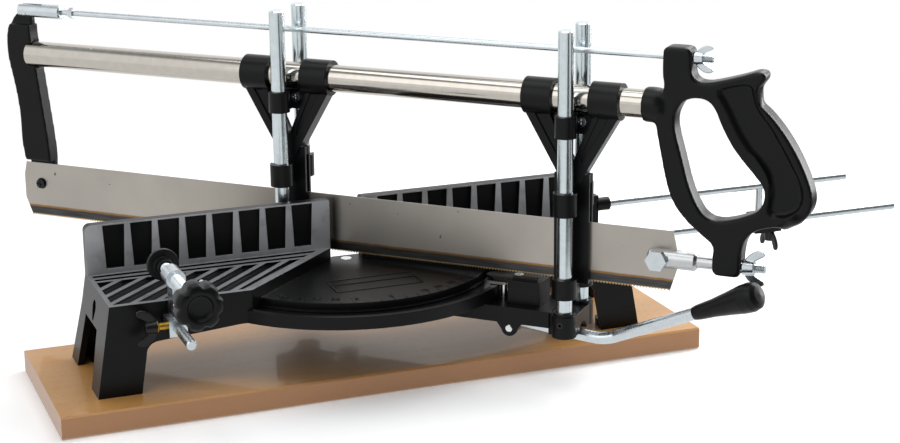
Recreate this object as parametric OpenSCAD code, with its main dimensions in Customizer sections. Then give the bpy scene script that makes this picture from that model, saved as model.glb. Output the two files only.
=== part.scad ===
// Manual mitre saw: a blade frame that slides and lifts on a swing arm, which turns under a cast base.
// The origin lies on the swing pivot, on the underside of the bench board. X runs along the fence,
// Y points to the back, and the saw is set for a 45 degree cut with its handle at the right front.

/* [Bench board] */
// Board to the left of the pivot
board_left = 263; // [250:1:320]
// Board to the right of the pivot
board_right = 273; // [250:1:320]
// Board in front of the fence line
board_front = 114; // [105:1:140]
// Board behind the fence line
board_back = 50; // [40:1:90]
// Thickness of the board
board_t = 18; // [14:1:30]

/* [Base casting] */
// Half the length of table and fence
table_half = 216.6; // [205:0.2:230]
// Height of the work table above the board
table_z = 72; // [70:0.5:76]
// Front edge of the table, in front of the fence
table_front = 85; // [82:0.5:92]
// How far each end spreads from the table to the feet
end_spread = 12.6; // [8:0.2:16]
// How far the front apron leans out at the bottom
front_spread = 2; // [1:0.5:4]
// How far the rear feet reach behind the fence
back_spread = 11; // [6:0.5:14]
// Wall of the casting
cast_wall = 5; // [4:0.5:6]
// Thickness of the table plate
table_plate = 6.5; // [5:0.5:8]
// Thickness of the fence
fence_t = 8; // [6:0.5:8.4]
// Height of the fence above the board
fence_top = 113.6; // [105:0.2:116]
// Half the gap in the fence that the blade passes through
gap_half = 13.5; // [12:0.5:20]
// Radius of the upper outer corners of the fence
fence_corner = 5; // [2:0.5:8]
// Number of recesses in each half of the fence
window_count = 8; // [4:1:8]
// Width of the land between two recesses, at their tops
fence_land = 4.6; // [3:0.1:8]
// Plain fence between the end of the table and the outermost recess
fence_end_land = 14.35; // [12:0.05:20]
// Plain fence between the gap and the innermost recess
fence_gap_land = 14.95; // [10:0.05:20]
// How much narrower a recess is at its bottom
window_taper = 3.3; // [0:0.1:5]
// Depth of a recess
window_depth = 4; // [2:0.5:5]
// Height of the quadrant plate above the board
quadrant_z = 62; // [60:0.5:63]
// Radius of the quadrant rim
rim_r = 139; // [137:0.5:139.5]
// Width of the ledge between the quadrant plate and its rim
ledge_w = 17; // [16:0.5:19]
// Height of the ledge round the quadrant
ledge_z = 56; // [55:0.5:57]
// Lower edge of the quadrant rim
rim_z = 45.5; // [45.3:0.1:47]
// Depth of the clamping groove in the ledge
groove_depth = 2; // [1:0.5:3]
// Depth of the grooves in the table
rib_depth = 2.6; // [1:0.2:4]
// Width of a table rib
rib_w = 4.5; // [3:0.1:6]
// Width of a groove between two ribs
rib_gap = 9.4; // [7:0.1:12]

/* [Swing arm] */
// Angle of the cut from square, to the right
mitre_angle = 45; // [45:1:45]
// Distance from the quadrant rim to the front posts
front_out = 62.3; // [60:0.1:66]
// Distance from the pivot to the rear posts
rear_l = 48.2; // [47:0.1:52]
// Half the distance between the two posts of a pair
post_off = 19; // [18.5:0.1:20.5]
// Diameter of a guide post
post_d = 12.5; // [11:0.1:13]
// Top of the posts above the board
post_top = 270.3; // [262:0.1:290]
// Top of the arm above the board
arm_top = 44.3; // [42:0.1:44.4]
// Height of the arm beam
arm_h = 13.3; // [12:0.1:15]
// Half the width of the arm
arm_half = 21; // [20.5:0.1:23]
// Outer diameter of a post socket
socket_d = 19.7; // [19:0.1:20.5]
// Top of the sockets above the board
socket_top = 45.8; // [45.5:0.1:47]
// Underside of the sockets above the board
socket_bottom = 25.6; // [25:0.1:27]
// Diameter of the pivot bolt
pivot_d = 10; // [8:0.5:12]

/* [Saw frame] */
// Diameter of the frame tube
tube_d = 22; // [20:0.5:24]
// Height of the tube above the board
tube_z = 214.1; // [208:0.1:220]
// Left end of the tube, from the pivot
tube_left = 304; // [302:0.5:306]
// Distance from the front posts to the visible right end of the tube
tube_out = 57.2; // [56:0.1:60]
// Height of the tension rod above the board
tension_z = 252.3; // [250:0.1:254]
// Diameter of the tension rod
tension_d = 4.8; // [4:0.1:6]
// Thickness of the frame arm at the left end
arm_t = 14; // [12:0.5:15]
// Thickness of the handle plate
handle_t = 18; // [16:0.5:22]
// Thickness of the grip
grip_t = 27; // [24:0.5:32]

/* [Blade] */
// Thickness of the blade
blade_t = 0.8; // [0.7:0.05:1.2]
// Height of the toothed edge above the board
blade_z = 67.1; // [66.8:0.1:68]
// Height of the blade, back to tooth tips
blade_h = 48.7; // [45:0.1:50]
// Pitch of the teeth
tooth_pitch = 2.5; // [2:0.1:4]
// Depth of the teeth
tooth_h = 1.6; // [1:0.1:2.2]

/* [Work clamp] */
// Distance of the clamp rod from the end of the table
clamp_in = 46.6; // [42:0.2:52]
// Diameter of the clamp rod and of the spindle
clamp_d = 8; // [6:0.5:9]
// Height of the clamp rod above the board
clamp_z = 57.3; // [56:0.1:59]
// Height of the spindle above the board
spindle_z = 95.7; // [94:0.1:100]
// Diameter of the knob
knob_d = 37; // [32:0.5:38]
// Diameter of the pad
pad_d = 25; // [20:0.5:26]

/* [Length stop] */
// Distance of the two stop rods in front of the fence
stop_y = 26; // [24:0.5:30]
// Diameter of the stop rods
stop_d = 6; // [5:0.5:7]
// Height of the lower rod above the board
stop_low_z = 58; // [56:0.5:59]
// Height of the upper rod above the board
stop_high_z = 91.3; // [88:0.1:96]
// Free end of the lower rod
stop_low_end = 518; // [500:1:540]
// Free end of the upper rod
stop_high_end = 465; // [450:1:480]
// Left face of the stop block at rest
stop_block_x = 370; // [350:1:378]

/* [Release lever] */
// Distance from the quadrant rim to the lever's hinge pin
lever_out = 16; // [15:0.5:18]
// Height of the hinge pin above the board
lever_z = 26.7; // [26:0.1:27.4]
// Diameter of the lever rod
lever_d = 10; // [8:0.5:11]
// Largest diameter of the lever's grip
lever_grip_d = 23; // [18:0.5:25]

/* [Hidden] */
$fn = 48;

// Values that all pieces share: a running fit, a slack fit, a cut's overrun, a chamfer on turned pieces
run_fit = 0.05;
slack_fit = 0.3;
over = 1;
edge_cut = 1;

// Places and heights that follow from the driving sizes
quadrant_r = rim_r - ledge_w;
front_l = rim_r + front_out;
tube_right = front_l + tube_out;
clamp_x = table_half - clamp_in;
lever_l = rim_r + lever_out;
arm_bottom = arm_top - arm_h;
post_floor = 2.4;
post_foot = socket_bottom + post_floor;
mid_angle = 45;

// Frames in which the pieces are drawn
module on_board() translate([0, 0, board_t]) children();
module along_arm() on_board() rotate([0, 0, -mitre_angle]) children();

// Rods and extrusions along one axis
module rod_x(d, l) rotate([0, 90, 0]) cylinder(d = d, h = l);
module rod_y(d, l) rotate([-90, 0, 0]) cylinder(d = d, h = l);
module across_y(l) rotate([90, 0, 0]) linear_extrude(l, center = true) children();
module across_x(l) rotate([90, 0, 90]) linear_extrude(l, center = true) children();

// A round bar along Z with a small chamfer at both ends
module chamfered_bar(d, l, c) rotate_extrude()
    polygon([[0, 0], [d / 2 - c, 0], [d / 2, c], [d / 2, l - c], [d / 2 - c, l], [0, l]]);

// A hexagon along Z, measured across its flats
module hexagon_bar(af, h) cylinder(d = af / cos(180 / 6), h = h, $fn = 6);

// Points of an arc in a plane
function arc_points(cx, cy, r, a0, a1, n) =
    [for (i = [0 : n]) [cx + r * cos(a0 + (a1 - a0) * i / n), cy + r * sin(a0 + (a1 - a0) * i / n)]];

// An outline given in shares of a width and a height, and the same outline with its corners cut
cut_share = 0.25;
function sized(shares, w, h) = [for (p = shares) [p[0] * w, p[1] * h]];
function eased(points) = [for (i = [0 : len(points) - 1]) let (a = points[i],
    b = points[(i + 1) % len(points)]) each [a + (b - a) * cut_share, b - (b - a) * cut_share]];

// Bench board and its screws
lug_inset_x = 9.6;
lug_inset_y = 12;
lug_x = table_half - lug_inset_x;
lug_front = table_front - lug_inset_y;
lug_back = 3;
lug_h = 6;
lug_d = 21;
board_screw_d = 4.5;
board_screw_head = 8.6;
board_screw_bite = 14;
board_edge = 1.5;
lug_places = [[-lug_x, -lug_front], [lug_x, -lug_front], [-lug_x, lug_back], [lug_x, lug_back]];

module base_board() color("#b98a4e") difference() {
    rotate([90, 0, 90]) translate([0, 0, -board_left]) linear_extrude(board_left + board_right)
        polygon([[-board_front, board_edge], [-board_front + board_edge, 0], [board_back - board_edge, 0],
            [board_back, board_edge], [board_back, board_t - board_edge], [board_back - board_edge, board_t],
            [-board_front + board_edge, board_t], [-board_front, board_t - board_edge]]);
    for (p = lug_places) translate([p[0], p[1], board_t - board_screw_bite])
        cylinder(d = board_screw_d, h = board_screw_bite + over);
}

module board_screws() color("#c9cdd2") on_board() for (p = lug_places) translate([p[0], p[1], 0]) {
    translate([0, 0, -board_screw_bite]) cylinder(d = board_screw_d, h = board_screw_bite + lug_h);
    translate([0, 0, lug_h]) difference() {
        cylinder(d1 = board_screw_head, d2 = board_screw_head / 2, h = board_screw_d / 2);
        translate([0, 0, board_screw_d / 4]) cross_slot(board_screw_head / 2, board_screw_d / 5);
    }
}

module cross_slot(l, w) for (a = [0, 90]) rotate([0, 0, a])
    translate([-l / 2, -w / 2, 0]) cube([l, w, l]);

// Base casting: outline of the whole, then what is cut from it
foot_half = table_half + end_spread;
apron_foot_y = table_front + front_spread;
apron_mid_z = 45.7;
end_recess_in = 0.4;
apron_mid_x = 115;
apron_leg_z = 40.6;
leg_top_w = 26.6;
leg_foot_in = 21.2;
leg_inner_x = table_half - leg_top_w;
leg_foot_x = table_half - leg_foot_in;
leg_fillet = 10;
wall_foot_x = 104.7;
back_clear_z = 50;
back_clear_x = 95;
window_span = table_half - fence_end_land - gap_half - fence_gap_land;
window_pitch = (window_span + fence_land) / window_count;
window_w = window_pitch - fence_land;
window_first = table_half - fence_end_land - window_w / 2;
fence_lip = 1.4;
fence_foot = 4.6;
window_top = fence_top - fence_lip;
window_bottom = table_z + fence_foot;
groove_inner_land = 2.6;
groove_outer_land = 5;
groove_in = quadrant_r + groove_inner_land;
groove_out = rim_r - groove_outer_land;
under_groove = ledge_z - groove_depth / 2 - cast_wall;
pivot_boss_d = 30;
rod_boss_d = 16;
end_boss_d = 14;
end_socket_y = 36.5;
end_recess_x = table_half + end_recess_in;
end_recess_d = 11;
end_recess_foot_z = 49.5;
end_recess_foot_d = 5;
clamp_socket_l = 32;
stop_socket_l = 26;
arch_top = 45;
arch_front = 54;
arch_back = 11;
arch_lean = 7;
label_x = 37;
label_front = 87;
label_back = 69;
label_depth = 0.5;

module casting_blank(inset, top) intersection() {
    across_y(2 * (table_front + rim_r)) polygon([
        [-(foot_half - inset), -over * sign(inset)], [foot_half - inset, -over * sign(inset)],
        [table_half - inset, top], [-(table_half - inset), top]]);
    across_x(2 * foot_half) polygon([
        [-(table_front + front_spread - inset), -over * sign(inset)], [-(table_front - inset), top],
        [fence_t - inset, top], [fence_t - inset, back_clear_z],
        [fence_t + back_spread - inset, -over * sign(inset)]]);
}

// Plan of the open sector between the two tables, from a height upward
module sector(from_z, grow) translate([0, 0, from_z]) linear_extrude(fence_top) polygon([
    [-(gap_half + grow), fence_t + over], [-(gap_half + grow), 0],
    [-(wall_foot_x + grow), -(table_front - over * sign(grow))], [-(wall_foot_x + grow), -apron_foot_y],
    [-(rim_r + over), -apron_foot_y], [-(rim_r + over), -(rim_r + over)],
    [rim_r + over, -(rim_r + over)], [rim_r + over, -apron_foot_y],
    [wall_foot_x + grow, -apron_foot_y], [wall_foot_x + grow, -(table_front - over * sign(grow))],
    [gap_half + grow, 0], [gap_half + grow, fence_t + over]]);

module in_front() translate([-rim_r - over, -rim_r - over, 0])
    cube([2 * (rim_r + over), rim_r + over, fence_top]);

module apron_opening() across_y(2 * (rim_r + table_front)) polygon(concat(
    [[-leg_foot_x, -over]], [[-leg_inner_x, apron_leg_z - leg_fillet]],
    arc_points(-leg_inner_x + leg_fillet, apron_leg_z - leg_fillet, leg_fillet, 180, 90, 6),
    [[-apron_mid_x, apron_mid_z], [apron_mid_x, apron_mid_z]],
    arc_points(leg_inner_x - leg_fillet, apron_leg_z - leg_fillet, leg_fillet, 90, 0, 6),
    [[leg_inner_x, apron_leg_z - leg_fillet]], [[leg_foot_x, -over]]));

module fence_half() translate([0, fence_t / 2, 0]) difference() {
    across_y(fence_t) polygon(concat(
        [[gap_half, quadrant_z], [table_half, quadrant_z]],
        arc_points(table_half - fence_corner, fence_top - fence_corner, fence_corner, 0, 90, 6),
        [[gap_half + over, fence_top], [gap_half, fence_top - over]]));
    for (i = [0 : window_count - 1]) translate([window_first - i * window_pitch, (window_depth - fence_t) / 2, 0])
        translate([0, -over / 2, 0]) across_y(window_depth + over) polygon([
            [-(window_w - window_taper) / 2, window_bottom], [(window_w - window_taper) / 2, window_bottom],
            [window_w / 2, window_top], [-window_w / 2, window_top]]);
}

// Grooves that leave raised ribs on one table
table_border = 3.6;
fence_groove_y = 2;
fence_groove_w = 4.5;
second_groove_y = 11.5;
field_back = 20;
field_margin = 5;
field_front = table_front - field_margin;
rib_first = 21.7;

module table_grooves() translate([0, 0, table_z - rib_depth]) linear_extrude(rib_depth + over) {
    for (y = [fence_groove_y, second_groove_y])
        intersection() {
            translate([0, -y - fence_groove_w]) square([table_half - table_border, fence_groove_w]);
            wall_side();
        }
    intersection() {
        translate([0, -field_front]) square([table_half - table_border, field_front - field_back]);
        wall_side();
        for (k = [0 : floor(table_half / (rib_w + rib_gap))])
            rotate([0, 0, -mid_angle]) translate([0, rib_first / sqrt(2) + k * (rib_w + rib_gap)])
                square([2 * table_half, rib_gap]);
    }
}

// The part of a table beyond the border rib along its slanting wall
module wall_side() polygon([[gap_half + rib_first / 2, 0], [table_half, 0], [table_half, -table_front],
    [wall_foot_x + rib_first / 2, -table_front]]);

module base_casting() color("#1c1d20") on_board() difference() {
    union() {
        difference() {
            union() {
                casting_blank(0, table_z);
                intersection() {
                    translate([0, 0, rim_z]) union() {
                        cylinder(r = rim_r, h = ledge_z - rim_z, $fn = 120);
                        cylinder(r = quadrant_r, h = quadrant_z - rim_z, $fn = 120);
                    }
                    in_front();
                }
                for (m = [0, 1]) mirror([m, 0, 0]) fence_half();
            }
            difference() {
                sector(ledge_z, 0);
                cylinder(r = quadrant_r, h = quadrant_z, $fn = 120);
            }
            sector(quadrant_z, 0);
            difference() {
                sector(-over, 0);
                cylinder(r = rim_r, h = quadrant_z, $fn = 120);
            }
            // hollow under the tables, the quadrant and its ledge
            difference() {
                casting_blank(cast_wall, table_z - table_plate);
                sector(0, cast_wall);
            }
            intersection() {
                casting_blank(cast_wall, under_groove);
                translate([0, 0, -over]) cylinder(r = 2 * table_half, h = under_groove + over);
            }
            intersection() {
                translate([0, 0, -over]) cylinder(r = rim_r - cast_wall, h = under_groove + over, $fn = 120);
                in_front_low();
            }
            intersection() {
                cylinder(r = quadrant_r - cast_wall, h = quadrant_z - cast_wall, $fn = 120);
                translate([-rim_r, -rim_r, -over]) cube([2 * rim_r, rim_r + fence_t - cast_wall, rim_r]);
            }
        }
        translate([0, 0, rim_z]) cylinder(d = pivot_boss_d, h = quadrant_z - cast_wall / 2 - rim_z);
        for (p = lug_places) intersection() {
            translate([p[0], p[1], 0]) cylinder(d = lug_d, h = lug_h);
            casting_blank(0, table_z);
        }
        for (s = [-1, 1]) {
            translate([s * clamp_x, -table_front + over, clamp_z]) rod_y(rod_boss_d, clamp_socket_l);
            translate([s * (table_half - over), s > 0 ? -stop_y : -end_socket_y, stop_low_z])
                rotate([0, -s * 90, 0]) cylinder(d = end_boss_d, h = stop_socket_l);
        }
    }
    // groove that the clamping shoe runs in
    translate([0, 0, ledge_z - groove_depth]) intersection() {
        difference() {
            cylinder(r = groove_out, h = groove_depth + over, $fn = 120);
            translate([0, 0, -over]) cylinder(r = groove_in, h = groove_depth + 3 * over, $fn = 120);
        }
        translate([0, 0, -ledge_z]) sector(0, 0);
    }
    apron_opening();
    translate([-back_clear_x, 0, -over])
        cube([2 * back_clear_x, fence_t + back_spread + over, back_clear_z + over]);
    across_x(2 * foot_half + over) polygon([[-arch_front - arch_lean, -over], [-arch_front, arch_top],
        [-arch_back, arch_top], [-arch_back + arch_lean, -over]]);
    for (m = [0, 1]) mirror([m, 0, 0]) table_grooves();
    translate([0, 0, rim_z - over]) cylinder(r = pivot_d / 2 + run_fit, h = quadrant_z);
    for (p = lug_places) translate([p[0], p[1], -over]) cylinder(d = board_screw_d + slack_fit, h = lug_h + 2 * over);
    for (s = [-1, 1]) {
        translate([s * clamp_x, -table_front - front_spread - over, clamp_z])
            rod_y(clamp_d + run_fit, clamp_socket_l + front_spread);
        translate([s * (foot_half + over), s > 0 ? -stop_y : -end_socket_y, stop_low_z])
            rotate([0, -s * 90, 0]) cylinder(d = stop_d + run_fit, h = stop_socket_l + end_spread - over);
    }
    // recess of the left socket, drop shaped
    translate([-end_recess_x - end_spread, 0, 0]) across_x(2 * end_spread) hull() {
        translate([-end_socket_y, stop_low_z]) circle(d = end_recess_d);
        translate([-end_socket_y, end_recess_foot_z]) circle(d = end_recess_foot_d);
    }
    translate([-label_x, -label_front, quadrant_z - label_depth])
        cube([2 * label_x, label_front - label_back, label_depth + over]);
}

module in_front_low() translate([-rim_r - over, -rim_r - over, -2 * over])
    cube([2 * (rim_r + over), rim_r + over + fence_t - cast_wall, fence_top]);

// Swing pivot
pivot_nut_h = 7;
pivot_nut_af = 17;
pivot_washer_d = 26;
arm_boss_h = 16;
arm_boss_foot = arm_top - arm_boss_h;
lower_washer_t = 1.6;
bolt_stand = 1;
pivot_bolt_foot = arm_boss_foot - lower_washer_t - pivot_nut_h - bolt_stand;

module pivot_bolt() color("#d9dcdf") on_board()
    translate([0, 0, pivot_bolt_foot]) chamfered_bar(pivot_d, quadrant_z - pivot_bolt_foot, edge_cut / 2);

module washer(d, hole, t) difference() {
    cylinder(d = d, h = t);
    translate([0, 0, -over]) cylinder(d = hole, h = t + 2 * over);
}

module pivot_washers() color("#b9bdc2") on_board() {
    translate([0, 0, arm_top]) washer(pivot_washer_d, pivot_d + slack_fit, rim_z - arm_top);
    translate([0, 0, arm_boss_foot - lower_washer_t]) washer(pivot_washer_d, pivot_d + slack_fit, lower_washer_t);
}

module pivot_nut() color("#c9cdd2") on_board()
    translate([0, 0, arm_boss_foot - lower_washer_t - pivot_nut_h]) difference() {
        hexagon_bar(pivot_nut_af, pivot_nut_h);
        translate([0, 0, -over]) cylinder(d = pivot_d, h = pivot_nut_h + 2 * over);
    }

// Work clamp
clamp_rod_end = 153;
rod_end_gap = 1;
block_w = 14;
block_l = 20;
block_h = 13;
upright_t = 6;
nut_boss_d = 15;
nut_boss_l = 18;
pad_y = 65;
pad_t = 5;
pad_cup_d = 13;
pad_cup_l = 9;
ball_d = 9;
knob_y = 166;
knob_l = 20;
knob_lobes = 7;
knob_dent_d = 15;
knob_dent_out = 5;
lock_nut_span = 30;
lock_nut_reach = 13;
lock_nut_hub_d = 14;
lock_nut_hub_l = 8;
lock_nut_turn = -50;
cap_d = 24;
cap_l = 2.5;
wing_screw_d = 6;
wing_hub_d = 10;
wing_hub_l = 10;
wing_reach = 16;
wing_span = 28;
wing_t = 2.6;
wing_stem = 6.5;
block_y = table_front + front_spread + wing_span / 2 + slack_fit;

module clamp_rod() color("#cdd3da") on_board() translate([-clamp_x, -clamp_rod_end, clamp_z])
    rotate([-90, 0, 0]) chamfered_bar(clamp_d, clamp_rod_end - table_front + clamp_socket_l - rod_end_gap, edge_cut);

module clamp_block() color("#c3c9cf") on_board() translate([-clamp_x, -block_y, 0]) difference() {
    union() {
        translate([-block_w / 2, -block_l / 2, clamp_z - block_h / 2]) cube([block_w, block_l, block_h]);
        translate([-upright_t / 2, 0, 0]) rotate([90, 0, 90]) linear_extrude(upright_t) polygon([
            [-block_l / 2, clamp_z], [block_l / 2, clamp_z],
            [nut_boss_l / 2 - edge_cut, spindle_z], [-nut_boss_l / 2 + edge_cut, spindle_z]]);
        translate([0, -nut_boss_l / 2, spindle_z]) rod_y(nut_boss_d, nut_boss_l);
    }
    translate([0, -block_l, clamp_z]) rod_y(clamp_d + 2 * run_fit, 2 * block_l);
    translate([0, -block_l, spindle_z]) rod_y(clamp_d + 2 * run_fit, 2 * block_l);
    translate([-block_w, 0, clamp_z]) rod_x(wing_screw_d + 2 * run_fit, block_w);
}

module clamp_spindle() color("#c3c9cf") on_board() translate([-clamp_x, 0, spindle_z]) {
    translate([0, -knob_y - knob_l / 2, 0]) rod_y(clamp_d, knob_y + knob_l / 2 - pad_y - pad_t - ball_d / 2);
    translate([0, -pad_y - pad_t - ball_d / 2, 0]) sphere(d = ball_d);
}

module clamp_lock_nut() color("#c9cdd2") on_board() translate([-clamp_x, -knob_y, spindle_z])
    rotate([-90, 0, 0]) rotate([0, 0, lock_nut_turn])
        wing_nut(lock_nut_span, lock_nut_reach, lock_nut_hub_d, lock_nut_hub_l, clamp_d);

module clamp_pad() color("#3c3e42") on_board() translate([-clamp_x, -pad_y, spindle_z]) rotate([90, 0, 0]) {
    difference() {
        union() {
            cylinder(d = pad_d, h = pad_t);
            translate([0, 0, pad_t / 2]) cylinder(d = pad_cup_d, h = pad_t / 2 + pad_cup_l);
        }
        translate([0, 0, pad_t + ball_d / 2]) sphere(d = ball_d + 2 * run_fit);
        translate([0, 0, pad_t + ball_d / 2]) cylinder(d = clamp_d + 2 * slack_fit, h = pad_cup_l);
    }
}

module clamp_knob() color("#1b1c1e") on_board() translate([-clamp_x, -knob_y, spindle_z]) rotate([90, 0, 0])
    difference() {
        union() {
            translate([0, 0, edge_cut]) cylinder(d = knob_d, h = knob_l - 2 * edge_cut);
            cylinder(d1 = knob_d - 2 * edge_cut, d2 = knob_d, h = edge_cut);
            translate([0, 0, knob_l - edge_cut]) cylinder(d1 = knob_d, d2 = knob_d - 2 * edge_cut, h = edge_cut);
        }
        for (i = [0 : knob_lobes - 1]) rotate([0, 0, i * 360 / knob_lobes])
            translate([knob_d / 2 + knob_dent_out, 0, -over]) cylinder(d = knob_dent_d, h = knob_l + 2 * over);
        translate([0, 0, -over]) cylinder(d = clamp_d, h = knob_l / 2 + over);
        translate([0, 0, knob_l - cap_l]) cylinder(d = cap_d, h = cap_l + over);
    }

module clamp_knob_cap() color("#2c2d30") on_board() translate([-clamp_x, -knob_y - knob_l, spindle_z])
    rotate([-90, 0, 0]) difference() {
        cylinder(d = cap_d, h = cap_l);
        translate([0, 0, -cap_d]) sphere(r = cap_d + cap_l / 2, $fn = 96);
    }

// Two wings on a hub along Z: paddles that spread away from the seat
wing_outline_share = [[0, 0.05], [0.3, 0.03], [0.62, 0.16], [0.95, 0.5], [1.04, 0.78], [0.94, 1.02], [0.72, 1.02],
    [0.56, 0.76], [0.3, 0.42], [0, 0.4]];
module wings(span, reach, t) for (s = [0, 180]) rotate([0, 0, s])
    across_y(t) polygon(eased(sized(wing_outline_share, span / 2, reach)));

// A wing screw along Z: thread, hub and wings
module wing_screw(stem) {
    cylinder(d = wing_screw_d, h = stem + wing_hub_l / 2);
    translate([0, 0, stem]) cylinder(d1 = wing_hub_d, d2 = wing_hub_d - 2 * edge_cut, h = wing_hub_l);
    translate([0, 0, stem]) wings(wing_span, wing_reach, wing_t);
}

module clamp_wing_screw() color("#232427") on_board()
    translate([-clamp_x - clamp_d / 2 - run_fit, -block_y, clamp_z]) rotate([0, -90, 0])
        wing_screw(block_w / 2 - clamp_d / 2 + wing_stem);

// Length stop
stop_block_l = 26;
stop_block_h = 16;
stop_block_w = 18;
stop_post_x = 7;
stop_bar_t = 6.4;
stop_bar_w = 8;
stop_bar_z = 73;
stop_bar_h = 27;
stop_bar_in = 5;
stop_bar_gap = table_half - stop_bar_in;
stop_boss_d = 11.3;
stop_boss_l = 11;
stop_screw_x = 19;

module stop_guide_rod() color("#cdd3da") on_board()
    translate([table_half - stop_socket_l + 2 * rod_end_gap, -stop_y, stop_low_z]) rotate([0, 90, 0])
        chamfered_bar(stop_d, stop_low_end - table_half + stop_socket_l - 2 * rod_end_gap, edge_cut / 2);

module stop_clamp_block() color("#232427") on_board() translate([stop_block_x, -stop_y, stop_low_z]) difference() {
    translate([0, -stop_block_w / 2, -stop_block_h / 2]) cube([stop_block_l, stop_block_w, stop_block_h]);
    translate([-over, 0, 0]) rod_x(stop_d + 2 * run_fit, stop_block_l + 2 * over);
    translate([stop_screw_x, 0, -stop_block_h]) cylinder(d = wing_screw_d + 2 * run_fit, h = stop_block_h);
    translate([stop_post_x, 0, stop_block_h / 4]) cylinder(d = stop_d, h = stop_block_h);
}

module stop_rod() color("#cdd3da") on_board() union() {
    translate([stop_bar_gap + stop_bar_t, -stop_y, stop_high_z])
        rotate([0, 90, 0]) chamfered_bar(stop_d, stop_high_end - stop_bar_gap - stop_bar_t, edge_cut / 2);
    translate([stop_block_x + stop_post_x, -stop_y, stop_low_z + stop_block_h / 4])
        cylinder(d = stop_d, h = stop_high_z - stop_low_z - stop_block_h / 4);
}

module stop_bar() color("#232427") on_board() translate([stop_bar_gap, -stop_y, 0]) difference() {
    union() {
        translate([0, -stop_bar_w / 2, stop_bar_z]) cube([stop_bar_t, stop_bar_w, stop_bar_h]);
        translate([stop_bar_t - over, 0, stop_high_z]) rod_x(stop_boss_d, stop_boss_l + over);
    }
    translate([stop_bar_t, 0, stop_high_z]) rod_x(stop_d, stop_boss_l + over);
}

module stop_wing_screw() color("#4a4c50") on_board()
    translate([stop_block_x + stop_screw_x, -stop_y, stop_low_z - stop_d / 2 - run_fit])
        rotate([180, 0, 90]) wing_screw(stop_block_h / 2 - stop_d / 2);

// Swing arm
arm_side_wall = 4;
channel_half = arm_half - arm_side_wall;
arm_plate = 4;
foot_behind = 12.3;
foot_ahead = 9;
foot_from = front_l - foot_behind;
foot_to = front_l + foot_ahead;
ring_step = 2.6;
lug_half_l = 6.6;
lug_root_half = 11.2;
lug_arc_from = 190;
lug_arc_to = 350;
lever_pin_d = 6;
pin_stand = 1;
arch_half = 8.6;
arch_headroom = 7;
arch_crown = lever_z + arch_headroom;
plunger_d = 5.5;
plunger_l = rim_r + plunger_d / 2 + 2 * slack_fit;
plunger_boss_z = 36;
set_screw_d = 5;
set_screw_z = 37;
hex_floor = 1;

module socket() {
    cylinder(d = socket_d, h = socket_top - ring_step - socket_bottom);
    cylinder(d = socket_d - 2 * edge_cut, h = socket_top - socket_bottom);
}

module swing_arm() color("#1c1d20") along_arm() difference() {
    union() {
        difference() {
            translate([-rear_l - socket_d / 4, -arm_half, arm_bottom])
                cube([rear_l + foot_from + socket_d / 4, 2 * arm_half, arm_h]);
            translate([-rear_l + socket_d / 2, -channel_half, arm_bottom - over])
                cube([rear_l + foot_from - socket_d, 2 * channel_half, arm_h - arm_plate + over]);
        }
        for (l = [-rear_l, front_l]) for (s = [-1, 1]) translate([l, s * post_off, socket_bottom]) socket();
        translate([foot_from - over, -post_off, socket_bottom])
            cube([foot_to - foot_from + over, 2 * post_off, socket_top - ring_step - socket_bottom]);
        translate([-rear_l - socket_d / 4, -post_off, socket_bottom])
            cube([socket_d / 2, 2 * post_off, arm_top - socket_bottom]);
        translate([0, 0, arm_boss_foot]) cylinder(d = pivot_boss_d, h = arm_top - arm_boss_foot);
        for (s = [-1, 1]) translate([lever_l, s * (arm_half + channel_half) / 2, 0])
            across_y(arm_half - channel_half) polygon(concat(
                [[-lug_root_half, arm_bottom + over]],
                arc_points(0, lever_z, lug_half_l, lug_arc_from, lug_arc_to, 8),
                [[lug_root_half, arm_bottom + over]]));
        translate([plunger_l, 0, plunger_boss_z]) cylinder(d = 2 * plunger_d, h = arm_top - plunger_boss_z);
    }
    for (l = [-rear_l, front_l]) for (s = [-1, 1]) {
        translate([l, s * post_off, post_foot]) cylinder(d = post_d + run_fit, h = post_top);
        translate([l, s * post_off, set_screw_z]) rotate([-s * 90, 0, 0])
            cylinder(d = set_screw_d, h = socket_d);
    }
    translate([0, 0, arm_boss_foot - over]) cylinder(r = pivot_d / 2 + run_fit, h = arm_top);
    translate([plunger_l, 0, arm_bottom - over]) cylinder(r = plunger_d / 2 + run_fit, h = arm_top);
    translate([lever_l, 2 * arm_half, lever_z]) rotate([90, 0, 0]) cylinder(d = lever_pin_d, h = 4 * arm_half);
    translate([house_screw_l, 0, arm_bottom]) cylinder(d = house_screw_d, h = arm_h + over);
    // arch through the foot for the lever rod
    translate([(foot_from + foot_to) / 2, 0, 0]) across_x(2 * (foot_to - foot_from)) polygon(concat(
        [[-arch_half, socket_bottom - over]],
        arc_points(0, arch_crown - arch_half, arch_half, 180, 0, 10),
        [[arch_half, socket_bottom - over]]));
}

module guide_post(l, s) color("#d2d8de") along_arm() translate([l, s * post_off, post_foot])
    chamfered_bar(post_d, post_top - post_foot, edge_cut);

module front_post_near() guide_post(front_l, -1);
module front_post_far() guide_post(front_l, 1);
module rear_post_near() guide_post(-rear_l, -1);
module rear_post_far() guide_post(-rear_l, 1);

module post_set_screws() color("#55585c") along_arm()
    for (l = [-rear_l, front_l]) for (s = [-1, 1])
        translate([l, s * (post_off + post_d / 2 + run_fit), set_screw_z]) rotate([-s * 90, 0, 0]) difference() {
            cylinder(d = set_screw_d, h = (socket_d - post_d) / 2 - run_fit);
            translate([0, 0, hex_floor]) hexagon_bar(set_screw_d / 2, socket_d);
        }

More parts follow.
